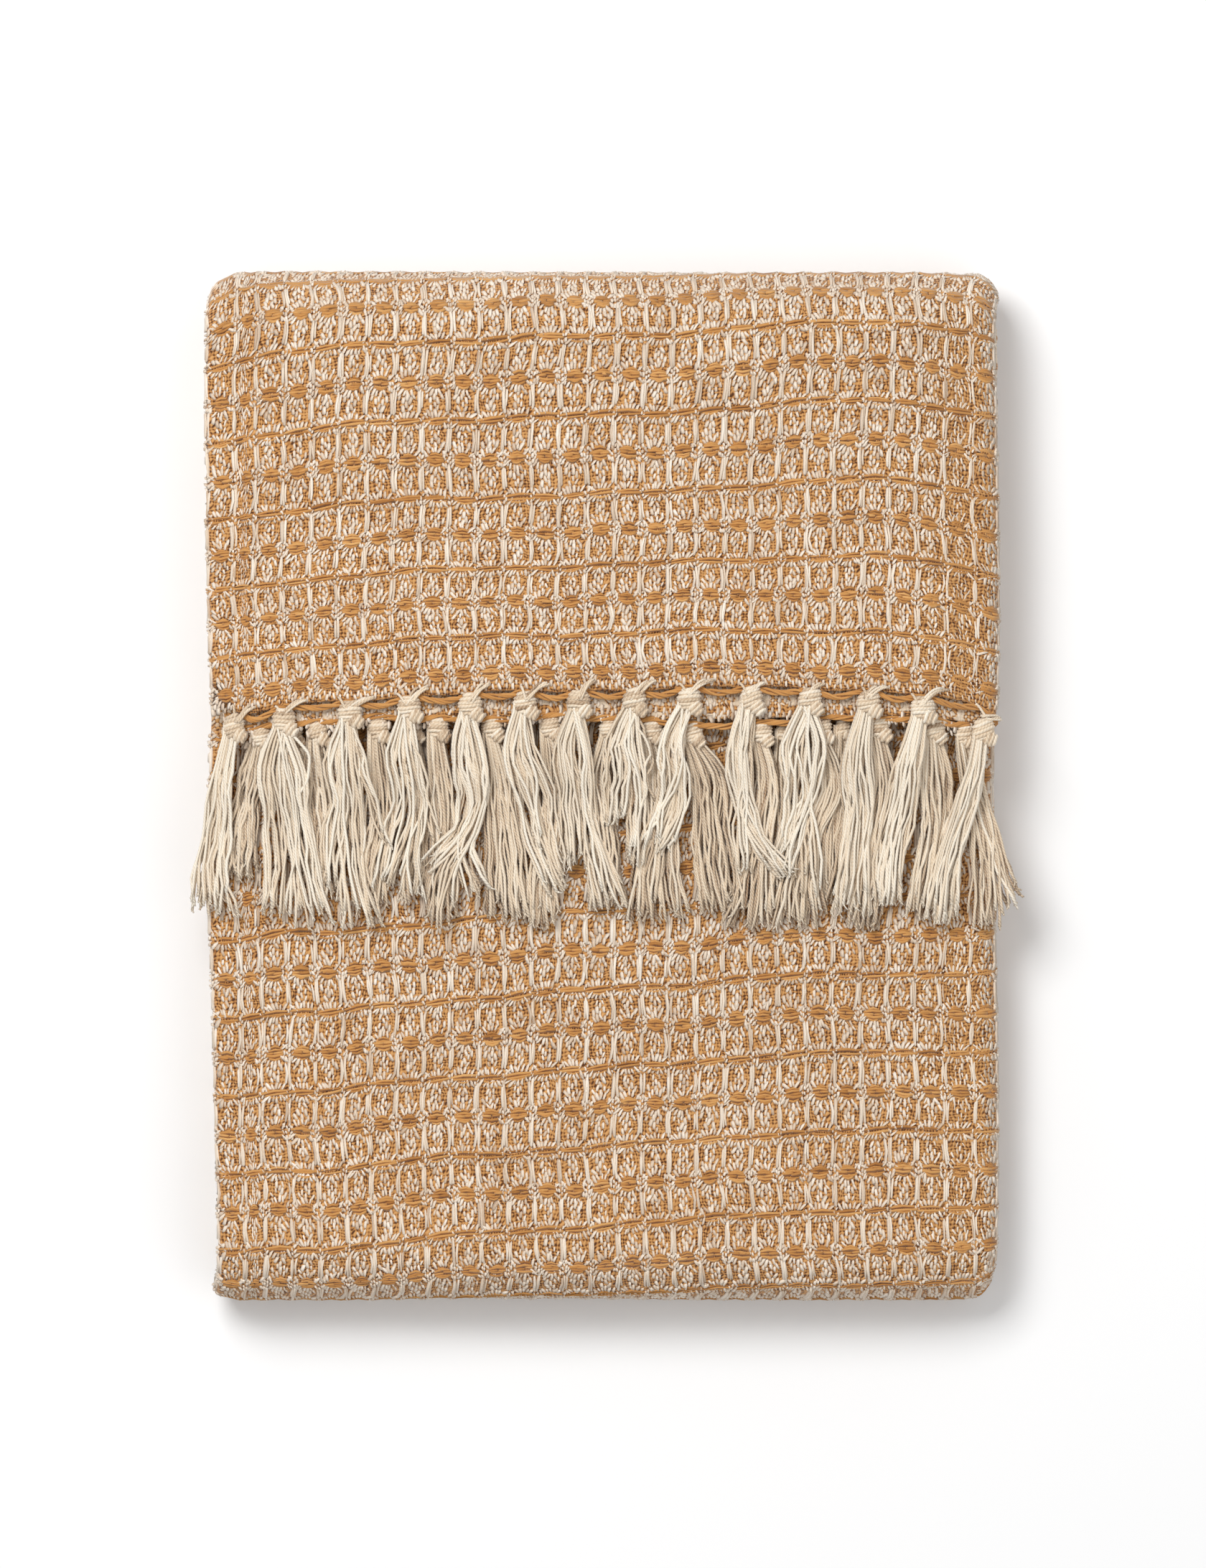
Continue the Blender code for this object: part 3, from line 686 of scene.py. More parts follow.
# Sides and steps of a spindle
GRAIN, FLOAT = (3, 3), (3, 4)
BLUNT_LENGTH, BLUNT_WIDTH = 1.13, 1.22
BAR_HEIGHT, ROPE_HEIGHT, GRAIN_HEIGHT = 0.0010, 0.0007, 0.0008
ROPE_RAISED = 0.0002
DOT_SIZE, DOT_LEAN = (0.42, 0.62, 0.0009), 0.25
# A single stitch is smaller in the hollow of a cell
GRAIN_WIDTH, GRAIN_LENGTH, HOLLOW_SHRINK = 0.56, 1.04, 0.16


def spindle(bm, shape, centre, size, along_warp):
    """A closed spindle with its poles at the ends of its length. Size: half width, half length, height."""
    width, length, height = size
    ridge_up = Matrix.Rotation(math.pi / 2 if along_warp else math.pi, 4, "Z")
    turn = Matrix.Rotation(math.pi / 2, 4, "X" if along_warp else "Y") @ ridge_up
    scale = Matrix.Diagonal((width, length, height, 1.0) if along_warp else (length, width, height, 1.0))
    verts = bmesh.ops.create_uvsphere(bm, u_segments=shape[0], v_segments=shape[1], radius=1.0)["verts"]
    # The rings on both sides of the middle are pushed out, so that the ends are blunt
    for vert in verts:
        if 0.2 < abs(vert.co.z) < 0.9:
            vert.co = (vert.co.x * BLUNT_WIDTH, vert.co.y * BLUNT_WIDTH, vert.co.z * BLUNT_LENGTH)
    bmesh.ops.transform(bm, matrix=Matrix.Translation(centre) @ scale @ turn, verts=verts)
    return verts


def weave_repeat(with_floats, with_grains):
    """The stitches of one repeat, in metres. Gives its mesh and how many stitches it has."""
    bm = bmesh.new()
    stitch = bm.verts.layers.int.new("stitch")
    count = 0

    def put(shape, across, pick, size, bend, weft=False):
        """One stitch. The bend moves a warp stitch across by its pick, a weft stitch along by its warp."""
        nonlocal count
        height = TOP_OF_CLOTH + ROPE_RAISED * weft
        verts = spindle(bm, shape, (across, pick, height), size, not weft)
        for face in {face for vert in verts for face in vert.link_faces}:
            face.material_index = int(weft)
        for vert in verts:
            x, y, _ = vert.co
            vert.co.x = WARP * (x if weft else x + bend(y))
            vert.co.y = PICK * (y + bend(x) if weft else y)
            vert[stitch] = count
        count += 1

    long_shape = FLOAT if with_grains else GRAIN
    rows = ((0.0, LINE_FLOATS, LINE_DOTS, LINE_FAN), (ROW_PICKS, CLUSTER_FLOATS, CLUSTER_DOTS, CLUSTER_FAN))
    rows = rows if with_floats else ()
    for row, *_ in rows:
        for warp, gathered, first, last, half in BAR_FLOATS:
            middle = row + (first + last) / 2
            put(long_shape, gathered, middle, (half, (last - first) / 2, BAR_HEIGHT),
                lambda y: BAR_FAN * (warp_place(warp, y) - warp_place(warp, middle)))
    for row, floats, *_ in rows:
        for start, end, arch, first, last, half in floats:
            put(long_shape, (first + last) / 2, row, (half, (last - first) / 2, ROPE_HEIGHT),
                lambda x: start + (end - start) * (x - first) / (last - first)
                + arch * (1.0 - (2.0 * (x - first) / (last - first) - 1.0) ** 2), weft=True)
    for row, _, dots, _ in rows if with_grains else ():
        for warp, pick in dots:
            put(GRAIN, warp, row + pick, DOT_SIZE,
                lambda y: DOT_LEAN * math.copysign(1.0, warp) * (y - row - pick))
    for row, _, _, fan in rows if with_grains else ():
        for warp, pick in [(warp, way * pick) for way in (-1, 1) for warp, pick in fan]:
            put(GRAIN, warp, row + pick, FAN_SIZE,
                lambda y: FAN_LEAN * (warp - 4) * math.copysign(1.0, pick) * (y - row - pick))
    crossings = [(warp, pick + 0.5) for pick in range(REPEAT_PICKS) for warp in range(-3, 5)
                 if (warp + pick) % 2 == 0 and not (with_floats and covered(warp, pick + 0.5))]
    for warp, pick in crossings if with_grains else ():
        deep = math.cos(math.pi * warp / 4) - math.cos(2 * math.pi * pick / ROW_PICKS)
        size = 1.0 - HOLLOW_SHRINK * float(smooth((deep - 0.4) / 1.4))
        middle = warp_place(warp, pick)
        put(GRAIN, warp, pick, (GRAIN_WIDTH * size, GRAIN_LENGTH * size, GRAIN_HEIGHT),
            lambda y: with_floats * (middle - warp + GRAIN_LEAN * (warp_place(warp, y) - middle)))
    bmesh.ops.recalc_face_normals(bm, faces=bm.faces)
    return mesh_from(bm, "weave_repeat"), count


full_repeat, sparse_repeat, plain_repeat = (
    weave_repeat(*what) for what in ((True, True), (True, False), (False, True)))
print("stitches in a full, a sparse and a plain repeat:", full_repeat[1], sparse_repeat[1], plain_repeat[1])

# %% Laying the stitches on the cloth
DRIFT_ACROSS, DRIFT_ALONG, STITCH_LIFT = 0.20 * WARP, 0.26 * PICK, 0.00016
STITCH_TURN, FLOAT_TURN, STITCH_SWELL, STITCH_CURVE = 0.19, 0.20, 0.24, 0.44 * WARP
CURVE_LENGTH = 4 * PICK


def arrayed(mesh, *rows):
    """The mesh repeated by an Array modifier for each row, which has a count and a step. Gives its mesh."""
    obj = bpy.data.objects.new("array", mesh)
    bpy.context.scene.collection.objects.link(obj)
    for count, step in rows:
        array = obj.modifiers.new("array", "ARRAY")
        array.count, array.use_relative_offset, array.use_constant_offset = count, False, True
        array.constant_offset_displace = step
    made = bpy.data.meshes.new_from_object(obj.evaluated_get(bpy.context.evaluated_depsgraph_get()))
    bpy.data.objects.remove(obj)
    return made


def points_of(mesh):
    """The places of a mesh's vertices, one row for each."""
    flat = np.empty(3 * len(mesh.vertices), dtype=np.float32)
    mesh.vertices.foreach_get("co", flat)
    return flat.reshape(-1, 3).astype(float)


def stitch_piece(name, repeat, a_range, t_range, seed, press=1.0, side=1, share=1.0):
    """A stretch of the cloth's stitches. The ones whose middle falls outside it are left off."""
    mesh, stitches = repeat
    random = np.random.default_rng(seed)
    starts, counts = [], []
    across, along = (a_range, BAR_AT, CELL, 2), (t_range, FIRST_LINE_ROW, 2 * ROW, 1)
    for (low, high), origin, step, spare in (across, along):
        first = math.floor((low - origin) / step) - 1
        starts.append(origin + first * step)
        counts.append(math.ceil((high - origin) / step) + spare - first)
    made = arrayed(mesh, (counts[0], (CELL, 0, 0)), (counts[1], (0, 2 * ROW, 0)))
    made.name = name
    flat_a, flat_t, up = (points_of(made) + (*starts, 0)).T
    ids = np.empty(len(made.vertices), dtype=np.int32)
    made.attributes["stitch"].data.foreach_get("value", ids)
    total = counts[0] * counts[1] * stitches
    ids = ids + np.arange(len(ids)) // len(mesh.vertices) * stitches
    sizes = np.bincount(ids, minlength=total)
    middle_a, middle_t = (np.bincount(ids, flat, total) / sizes for flat in (flat_a, flat_t))
    kept = (middle_a > a_range[0]) & (middle_a < a_range[1])
    kept &= (middle_t > t_range[0]) & (middle_t < t_range[1])
    drift_a = random.uniform(-1, 1, total) * DRIFT_ACROSS
    drift_t = random.uniform(-1, 1, total) * DRIFT_ALONG
    rise = random.uniform(-1, 1, total) * STITCH_LIFT
    tone = np.clip(random.normal(0.5, 0.2, total), 0, 1)
    turn = (random.normal(0, STITCH_TURN, total) * np.where(sizes > sizes.min(), FLOAT_TURN, 1.0))[ids]
    swell = (1.0 + random.uniform(-1, 1, total) * STITCH_SWELL)[ids]
    from_a, from_t = (flat_a - middle_a[ids]) * swell, (flat_t - middle_t[ids]) * swell
    curve = random.normal(0, STITCH_CURVE, total)[ids] * (from_t / CURVE_LENGTH) ** 2
    kept &= random.uniform(0, 1, total) < share
    a = (middle_a + drift_a)[ids] + from_a - turn * from_t + curve
    t = (middle_t + drift_t)[ids] + from_t + turn * from_a
    lay(made, on_stack(a, t, side * ((up + rise[ids]) * press + waffle(a, t))))
    mark(made, "tone", tone[ids])
    bm = bmesh.new()
    bm.from_mesh(made)
    bm.verts.ensure_lookup_table()
    bmesh.ops.delete(bm, geom=[bm.verts[i] for i in np.flatnonzero(~kept[ids])], context="VERTS")
    if side < 0:
        bmesh.ops.reverse_faces(bm, faces=bm.faces)
    bm.to_mesh(made)
    bm.free()
    return add_object(name, made, cream_stitch, mustard_stitch)


face = (-0.004, fold_end + 0.001)
reverse = (-panel_end + 0.002, -LEFT_TURN)
edge_rows_end, flap_rows_end = 0.0042, FLAP_END + EDGE_DRAW
under_start, front_half, front_end = UNDER_START + 0.012, FRONT_START + 0.100, SHOWN_FRONT - 0.026
# Columns: name, repeat, range across, range along, seed
STRETCHES = (
    ("stitches_edge", plain_repeat, face, (0.0006, edge_rows_end), 10),
    ("stitches_flap", full_repeat, face, (edge_rows_end, flap_rows_end), 11),
    ("stitches_top_bend", full_repeat, face, (flap_rows_end, under_start), 12),
    ("stitches_underside", sparse_repeat, face, (under_start, under_seen), 13),
    ("stitches_bottom_bend", full_repeat, face, (under_seen, FRONT_START), 14),
    ("stitches_front_low", full_repeat, face, (FRONT_START, front_half), 15),
    ("stitches_front_high", full_repeat, face, (front_half, front_end), 17),
    ("stitches_reverse", plain_repeat, reverse, (-0.0125, 0.0030), 16),
)
# The floor presses the underside's stitches flat. The reverse shows fewer stitches, on the cloth's other side
SPECIAL = {"stitches_underside": dict(press=0.55), "stitches_reverse": dict(side=-1, share=0.65)}
stitch_pieces = [stitch_piece(*stretch, **SPECIAL.get(stretch[0], {})) for stretch in STRETCHES]
for piece in stitch_pieces:
    print(piece.name, "triangles:", triangles(piece))

# %% [markdown]
# ## Strands
# Tassels, knots and the edge cords are all yarn, so one helper makes them: a capped cylinder from bmesh, cut
# into rings, is repeated once for each strand by an Array modifier, and every ring is then set on its
# strand's own path.

# %% A strand for each path
def tube(points, sides):
    """A capped cylinder along Z with a ring at every whole number."""
    bm = bmesh.new()
    bmesh.ops.create_cone(bm, cap_ends=True, segments=sides, radius1=1.0, radius2=1.0, depth=points - 1.0,
                          matrix=Matrix.Translation((0, 0, (points - 1.0) / 2)))
    long_edges = [edge for edge in bm.edges if abs(edge.verts[0].co.z - edge.verts[1].co.z) > 0.5]
    bmesh.ops.subdivide_edges(bm, edges=long_edges, cuts=points - 2, use_grid_fill=True)
    return mesh_from(bm, "tube")


def unit(vectors):
    """The same directions, each one long."""
    return vectors / np.maximum(np.linalg.norm(vectors, axis=-1, keepdims=True), 1e-9)


def strands(paths, radii, material, sides=4, reference=(0, 0, 1), tones=None, seed=0, name="strands"):
    """One object of tubes, one along each path. Paths: strand, point, xyz. Radii: strand, point."""
    count, points = paths.shape[:2]
    mesh = arrayed(tube(points, sides), (count, (0, 0, 0)))
    flat = points_of(mesh).reshape(count, -1, 3)
    ring = np.clip(np.rint(flat[..., 2]).astype(int), 0, points - 1)
    angle = np.arctan2(flat[..., 1], flat[..., 0])
    tangent = unit(np.gradient(paths, axis=1))
    side = unit(np.cross(np.broadcast_to(np.asarray(reference, dtype=float), tangent.shape), tangent))
    up = np.cross(tangent, side)
    rows = np.arange(count)[:, None]
    lay(mesh, paths[rows, ring] + radii[rows, ring][..., None] * (
        np.cos(angle)[..., None] * side[rows, ring] + np.sin(angle)[..., None] * up[rows, ring]))
    steps = np.linalg.norm(np.diff(paths, axis=1), axis=-1)
    run = 1000 * np.concatenate([np.zeros((count, 1)), np.cumsum(steps, axis=1)], axis=1)
    uv_from(mesh, run[rows, ring], angle / (2 * math.pi))
    close_uv_seam(mesh)
    if tones is None:
        tones = np.clip(np.random.default_rng(seed).normal(0.5, 0.2, count), 0, 1)
    mark(mesh, "tone", np.repeat(tones, flat.shape[1]))
    return add_object(name, mesh, material)


def close_uv_seam(mesh):
    """Lets the map run on over the seam, where it would turn back round the strand."""
    starts = np.empty(len(mesh.polygons), dtype=np.int32)
    sizes = np.empty(len(mesh.polygons), dtype=np.int32)
    mesh.polygons.foreach_get("loop_start", starts)
    mesh.polygons.foreach_get("loop_total", sizes)
    uv = np.empty(2 * len(mesh.loops), dtype=np.float32)
    mesh.uv_layers["UVMap"].uv.foreach_get("vector", uv)
    uv = uv.reshape(-1, 2)
    corners = starts[sizes == 4][:, None] + np.arange(4)
    around = uv[corners, 1]
    uv[corners, 1] = np.where(around < around.max(axis=1, keepdims=True) - 0.5, around + 1.0, around)
    mesh.uv_layers["UVMap"].uv.foreach_set("vector", uv.ravel())


def joined(name, parts):
    """Several objects made into one."""
    bpy.context.view_layer.update()
    with bpy.context.temp_override(active_object=parts[0], object=parts[0], selected_objects=parts,
                                   selected_editable_objects=parts):
        bpy.ops.object.join()
    parts[0].name = parts[0].data.name = name
    return parts[0]


print("a tube of 12 rings has", len(tube(12, 5).polygons), "faces")

# %% [markdown]
# ## The tassels
# Each tassel is a bundle of about thirty-five warp ends, tied in an overhand knot close to the edge. Hair
# particles could draw the yarns, but they export badly. Here every yarn is a strand of its own, so they
# cross, spread and end raggedly as the real ones do, and two plies come apart at each cut end. Their knots,
# tips and heights are the solid tassels' own.

# %% Rows and places of the tassels, the same as the solids'
KNOT_LENGTH = 0.0082
CLEARANCE = 0.00045
# Knot, passing and lying are heights above the front panel, passed and settled are ways down from the knot.
# Edge is the edge table's column that the row leaves from
TASSEL_ROWS = {
    "top": dict(edge=1, width=0.0100, knot=0.0143, passing=0.0123, passed=0.021, lying=0.0063, settled=0.042),
    "second": dict(edge=2, width=0.0096, knot=0.0070, passing=0.0056, passed=0.009, lying=0.0039,
                   settled=0.024),
    "third": dict(edge=2, width=0.0070, knot=0.0040, passing=0.0026, passed=0.008, lying=0.0015,
                  settled=0.020),
}
# A tassel has one or more bundles of yarns, which follow each other here. Columns, in mm: knot x, yarns, tip
# y, then the place across and the width at each quarter of the way down, with the tip as the last.
TASSELS = {
    "top": (
        (-150, 35, -52, -155.5, 8, -157, 10, -159.5, 13, -159.5, 17),
        (-129.3, 19, -52, -135, 12.5, -132.5, 12.5, -131.5, 14.5, -132.5, 14.5),
        (-129.3, 16, -57.5, -126, 10.5, -124, 10.5, -121, 11.5, -117, 14.5),
        (-129.3, 1, -8, -121, 1, -120, 1, -122, 1, -125, 1),
        (-102.5, 12, -40.5, -109.5, 8, -108, 8, -110.5, 8, -110.5, 7),
        (-102.5, 19, -57, -103.5, 10.5, -102.5, 11.5, -101.5, 10.5, -97, 17.5),
        (-102.5, 6, -25, -99, 4, -96.5, 4, -92, 4.5, -88.5, 4),
        (-78.3, 20, -41, -83, 10.5, -80.5, 12.5, -85, 11.5, -90.5, 8.5),
        (-78.3, 12, -47, -78.5, 8, -75.5, 7, -78.5, 8, -77.5, 10.5),
        (-78.3, 2, -24, -76.5, 2, -73, 2, -71.5, 2.5, -67, 3),
        (-53.5, 17, -34.5, -58, 8.5, -55, 10.5, -57, 10.5, -71.5, 8.5),
        (-53.5, 12, -44, -52, 8, -51, 7, -57, 8, -49.5, 10.5),
        (-53.5, 7, -57, -50.5, 6, -52, 4, -64, 7, -66.5, 9.5),
        (-31.3, 22, -43, -36.5, 8.5, -31, 9.5, -26, 8, -18, 9.5),
        (-31.3, 7, -39.5, -29, 5, -23, 5, -21, 5, -18, 7), (-31.3, 6, -25, -33, 4, -30, 4, -29, 4, -29, 3),
        (-9.5, 20, -33.5, -16, 8, -14.5, 10.5, -13.5, 10.5, -13.5, 9.5),
        (-9.5, 14, -50, -7.5, 5, -7.5, 6, -2.5, 8.5, 3.5, 14.5),
        (13.1, 19, -15, 6, 8.5, 5, 10.5, 4, 8.5, 3, 7), (13.1, 13, -31.5, 11, 8, 13, 7, 12, 6, 11.5, 6),
        (13.1, 2, -6.5, 16, 2, 19, 2, 17, 3, 18, 2),
        (35.3, 29, -26.5, 27, 8.5, 28, 11.5, 25.5, 12.5, 19, 8.5),
        (35.3, 6, -22, 32, 3, 30, 3, 24.5, 3, 22.5, 3), (60.4, 23, -36.5, 54, 8, 55, 8.5, 60.5, 8, 73, 6),
        (60.4, 12, -34.5, 57.5, 6, 56.5, 6, 55.5, 7, 56.5, 8),
        (84.2, 19, -28.5, 76, 8, 76, 8.5, 75, 8, 71, 7), (84.2, 12, -36.5, 87.5, 5, 83.5, 5, 78, 6, 75, 4),
        (84.2, 6, -45, 81.5, 3, 82, 4, 83.5, 6, 83.5, 8),
        (107.8, 35, -52, 102, 11.5, 103, 12.5, 101, 14.5, 100, 18.5),
        (129.5, 35, -47.5, 123.5, 9.5, 119.5, 12.5, 116, 11.5, 115, 9.5),
        (153.5, 35, -55, 149.5, 8, 143.5, 10.5, 139, 12.5, 137, 15.5),
    ),
    "second": (
        (-139.8, 34, -37.5, -144, 9, -145.5, 10, -147, 10.5, -147, 12),
        (-116.8, 34, -45, -117, 10.5, -115.5, 10.5, -115, 10, -114.5, 10),
        (-92.1, 34, -49, -92, 10, -91, 10.5, -94, 10.5, -94, 10.5),
        (-67.9, 34, -53, -67.5, 9, -65.5, 10, -66, 10.5, -66, 12),
        (-45.8, 40, -54, -43.5, 10.5, -41.5, 15.5, -39.5, 17, -37.5, 18),
        (-22.3, 34, -57, -21, 10, -22, 10, -25, 10.5, -25, 13),
        (2.2, 34, -49, -2.5, 9, -1, 9, 0, 10, 1, 14.5),
        (19, 40, -54, 20.5, 7.5, 22.5, 12, 21.5, 18, 22.5, 24.5),
        (35.3, 40, -51, 42, 15.5, 43, 15.5, 45, 17, 47.5, 15.5),
        (63.3, 36, -57, 66, 9, 63, 10, 61.5, 14.5, 59.5, 19.5),
        (87.4, 40, -57, 91.5, 10, 84.5, 10.5, 79.5, 15.5, 78.5, 23),
        (111, 34, -57.5, 113.5, 9, 110.5, 10.5, 108, 12, 107, 12),
        (133.5, 36, -53, 134, 14.5, 135, 13, 132, 12, 128, 12),
        (146.5, 17, -49, 150.5, 9, 155.5, 9, 162, 9, 168, 7.5),
        (146.5, 19, -57.5, 150.5, 10, 155.5, 10, 157.5, 10.5, 157.5, 10.5),
    ),
    "third": (
        (-126.2, 26, -39.5, -121, 7.5, -120, 9, -119, 9, -119, 10),
        (-77.5, 26, -42, -76.5, 7.5, -74.5, 7.5, -75.5, 9, -75.5, 10.5),
        (72.6, 26, -42, 71, 7.5, 70, 9, 69, 10, 68, 10.5),
        (96.6, 26, -46, 95, 9, 92.5, 10, 90.5, 10, 90, 10.5),
    ),
}


def lying_height(row, below_knot):
    """Height of a tassel's middle above the front panel, a way down from its knot."""
    early = row["knot"] + smooth(below_knot / row["passed"]) * (row["passing"] - row["knot"])
    late = row["passing"] + smooth((below_knot - row["passed"]) / (row["settled"] - row["passed"])) * (
        row["lying"] - row["passing"])
    return np.where(below_knot < row["passed"], early, late)


def knot_back(row, x):
    """The foremost place at which a knot clears the cloth's edge."""
    reach = row["width"] / 2
    return min(from_table(FLAP_EDGE, x + shift, row["edge"]) for shift in (-reach, 0, reach)) - CLEARANCE


print("bundles of yarn in each row:", [len(table) for table in TASSELS.values()])

# %% Yarns of a tassel
YARN_POINTS, YARN_RADIUS = 16, 0.00059
# Greatest width of a bundle under its knot, in mm as the table is, and the height of one layer of its yarns
NECK, BUNDLE_LAYER = 5.6, 0.00085
# How unevenly yarns are cut, and how far they wander, stray and rise
RAGGED, WANDER, STRAY, YARN_RISE = 0.13, 0.0007, 0.0009, 0.0005
# Tone of a bundle's middle; painted shade: how far its upper yarns are painted lighter and its lower ones
# darker,
# # as shade deepens down through a bundle; how far yarns differ at random; and how much painted shade darkens
# a
# # row that leaves from each edge, the rows from the second edge lying under the flap
MIDDLE_TONE, BUNDLE_DEPTH_PAINTED_SHADE, TONE_SPREAD = 0.62, 0.26, 0.14
ROW_PAINTED_SHADE = {1: 0.0, 2: 0.33}
# Plies are lighter where they are cut
CUT_LIGHT = 0.15
FRAY_POINTS, FRAY_SPREAD, FRAY_OVERLAP = 3, 0.34, 0.0006
FRAY_LENGTH, FRAY_THICKNESS = (0.0010, 0.0026), (0.80, 0.62)


def through(stations, share):
    """A smooth curve through evenly spaced values."""
    stations = np.array(stations, dtype=float)
    place = np.clip(share, 0, 1) * (len(stations) - 1)
    first = np.minimum(place.astype(int), len(stations) - 2)
    f = place - first
    slope = np.gradient(stations)
    return ((2 * f ** 3 - 3 * f ** 2 + 1) * stations[first] + (f ** 3 - 2 * f ** 2 + f) * slope[first]
            + (3 * f ** 2 - 2 * f ** 3) * stations[first + 1] + (f ** 3 - f ** 2) * slope[first + 1])


def bundle_yarns(row, root, bundle, level, seed):
    """Strands that leave the knot together, spread as they fall, lie down and end raggedly."""
    random = np.random.default_rng(seed)
    yarns, tip_y, *stations = bundle
    centres = np.array([1000 * root[0], *stations[0::2]]) / 1000
    widths = np.array([min(NECK, stations[1]), *stations[1::2]]) / 1000
    across = (np.arange(yarns) + random.uniform(0.2, 0.8, yarns)) / yarns * 2 - 1
    up = random.permutation(np.linspace(-1, 1, yarns)) if yarns > 1 else np.array([0.6])
    ends = 1.0 - RAGGED * random.random(yarns) ** 1.4
    share = np.linspace(-0.05, 1.0, YARN_POINTS)[None, :] * ends[:, None]
    run_y = tip_y / 1000 - root[1]
    slope_x = (through(centres, share + 0.02) - through(centres, share - 0.02)) / 0.04
    length = np.hypot(slope_x, run_y)
    waves_down = random.uniform(1.2, 2.6, (yarns, 1)) * share
    phase = random.uniform(0, 2 * math.pi, (yarns, 1))
    wander = WANDER * smooth(share * 3.0) * (np.sin(2 * math.pi * waves_down + phase)
                                             + 0.5 * np.sin(4.4 * math.pi * waves_down + 2.3 * phase))
    drift = random.normal(0, STRAY, (yarns, 1)) * smooth(share)
    flare = random.normal(0, STRAY, (yarns, 1)) * smooth((share - 0.8) / 0.2)
    width = through(widths, share)
    lateral = across[:, None] * width / 2 + wander + drift + flare
    layers = np.clip(yarns * 2 * YARN_RADIUS / np.maximum(width, 0.003), 1.0, 2.6)
    middle = lying_height(row, np.abs(run_y) * np.clip(share, 0, 1)) + level
    rise = YARN_RISE * smooth(share * 2) * np.sin(1.6 * math.pi * waves_down + 2 * phase)
    height = np.maximum(middle + up[:, None] * layers * BUNDLE_LAYER + rise, YARN_RADIUS + TOP_OF_CLOTH)
    x = through(centres, share) - lateral * run_y / length
    y = root[1] + run_y * share + lateral * slope_x / length
    radii = YARN_RADIUS * random.uniform(0.85, 1.15, (yarns, 1)) * np.ones((1, YARN_POINTS))
    radii[:, -1] *= random.uniform(0.9, 1.4, yarns)
    # Painted shade: lower yarns of a bundle and the rows under the flap are painted darker
    tones = MIDDLE_TONE + BUNDLE_DEPTH_PAINTED_SHADE * up - ROW_PAINTED_SHADE[row["edge"]] + random.normal(0, TONE_SPREAD, yarns)
    return settle(x, y, FRONT_TOP + height) + SHIFT, radii, np.clip(tones, 0, 1)


def frayed(paths, seed):
    """Two plies that come apart at the cut end of each yarn."""
    random = np.random.default_rng(seed)
    ends = np.repeat(paths, 2, axis=0)
    ahead = unit(ends[:, -1] - ends[:, -3])[:, None]
    beside = unit(np.cross((0.0, 0.0, 1.0), ahead))
    length = random.uniform(*FRAY_LENGTH, (len(ends), 1, 1))
    spread = random.normal(0, FRAY_SPREAD, (len(ends), 1, 1))
    share = np.linspace(0, 1, FRAY_POINTS)[None, :, None]
    places = ends[:, -1:] - FRAY_OVERLAP * ahead + length * (ahead * share + beside * spread * share ** 1.5)
    return places, YARN_RADIUS * np.linspace(*FRAY_THICKNESS, FRAY_POINTS) * np.ones((len(ends), 1))


print("yarns in all:", sum(bundle[1] for table in TASSELS.values() for bundle in table))

# %% Knot of a tassel
WRAP_POINTS = 17
# The knot is a barrel with a lobe beside it. Sizes are halves across, along and up, places are from its back
BARREL, BARREL_PLACE = (0.0051, 0.0045, 0.0044), (0.0, -0.0036, 0.0006)
LOBE, LOBE_PLACE, LOBE_LEAN = (0.0036, 0.0034, 0.0034), (0.0024, -0.0037, 0.0007), 0.9
BARREL_WRAPS, LOBE_WRAPS = (6, 0.00090), (4, 0.00082)
# How far a wrap lies from its even place, where it starts round the barrel, and how much it wavers
WRAP_SLIP, WRAP_START, WRAP_WAVER = 0.00016, 0.2, 0.00012
# The ends over the edge reach and rise between the first pair of lengths and the second
END_COUNT, END_POINTS, END_RADIUS, END_ROOT = 6, 7, 0.00050, 0.0038
SHORT_ENDS, LONG_ENDS = (0.0052, 0.0010), (0.0096, 0.0042)
# The one end to the left of a knot
LEFT_REACH, LEFT_RISE = (0.0020, 0.0040), (0.0004, 0.0020)


def wound(centre, half, tilt, lean, wraps, seed):
    """Yarns wound side by side round a barrel, which lean turns on the cloth. Wraps: how many, radius."""
    random = np.random.default_rng(seed)
    count, radius = wraps
    along = np.linspace(-1, 1, count) * (half[1] - radius) + random.uniform(-WRAP_SLIP, WRAP_SLIP, count)
    girth = np.sqrt(np.maximum(1.0 - (along / half[1]) ** 2, 0.05))
    turn = np.linspace(-0.5 * math.pi, 1.5 * math.pi, WRAP_POINTS)
    turn = turn + random.uniform(-WRAP_START, WRAP_START, (count, 1))
    x = (half[0] - radius) * girth[:, None] * np.cos(turn)
    z = (half[2] - radius) * girth[:, None] * np.sin(turn)
    y = along[:, None] + tilt * x + WRAP_WAVER * np.sin(3 * turn + random.uniform(0, 6, (count, 1)))
    spun_x, spun_y = x * math.cos(lean) - y * math.sin(lean), x * math.sin(lean) + y * math.cos(lean)
    paths = settle(centre[0] + spun_x, centre[1] + spun_y, centre[2] + z) + SHIFT
    radii = radius * random.uniform(0.9, 1.18, (count, 1)) * np.ones((1, WRAP_POINTS))
    return strands(paths, radii, fringe, reference=(-math.sin(lean), math.cos(lean), 0), seed=seed)


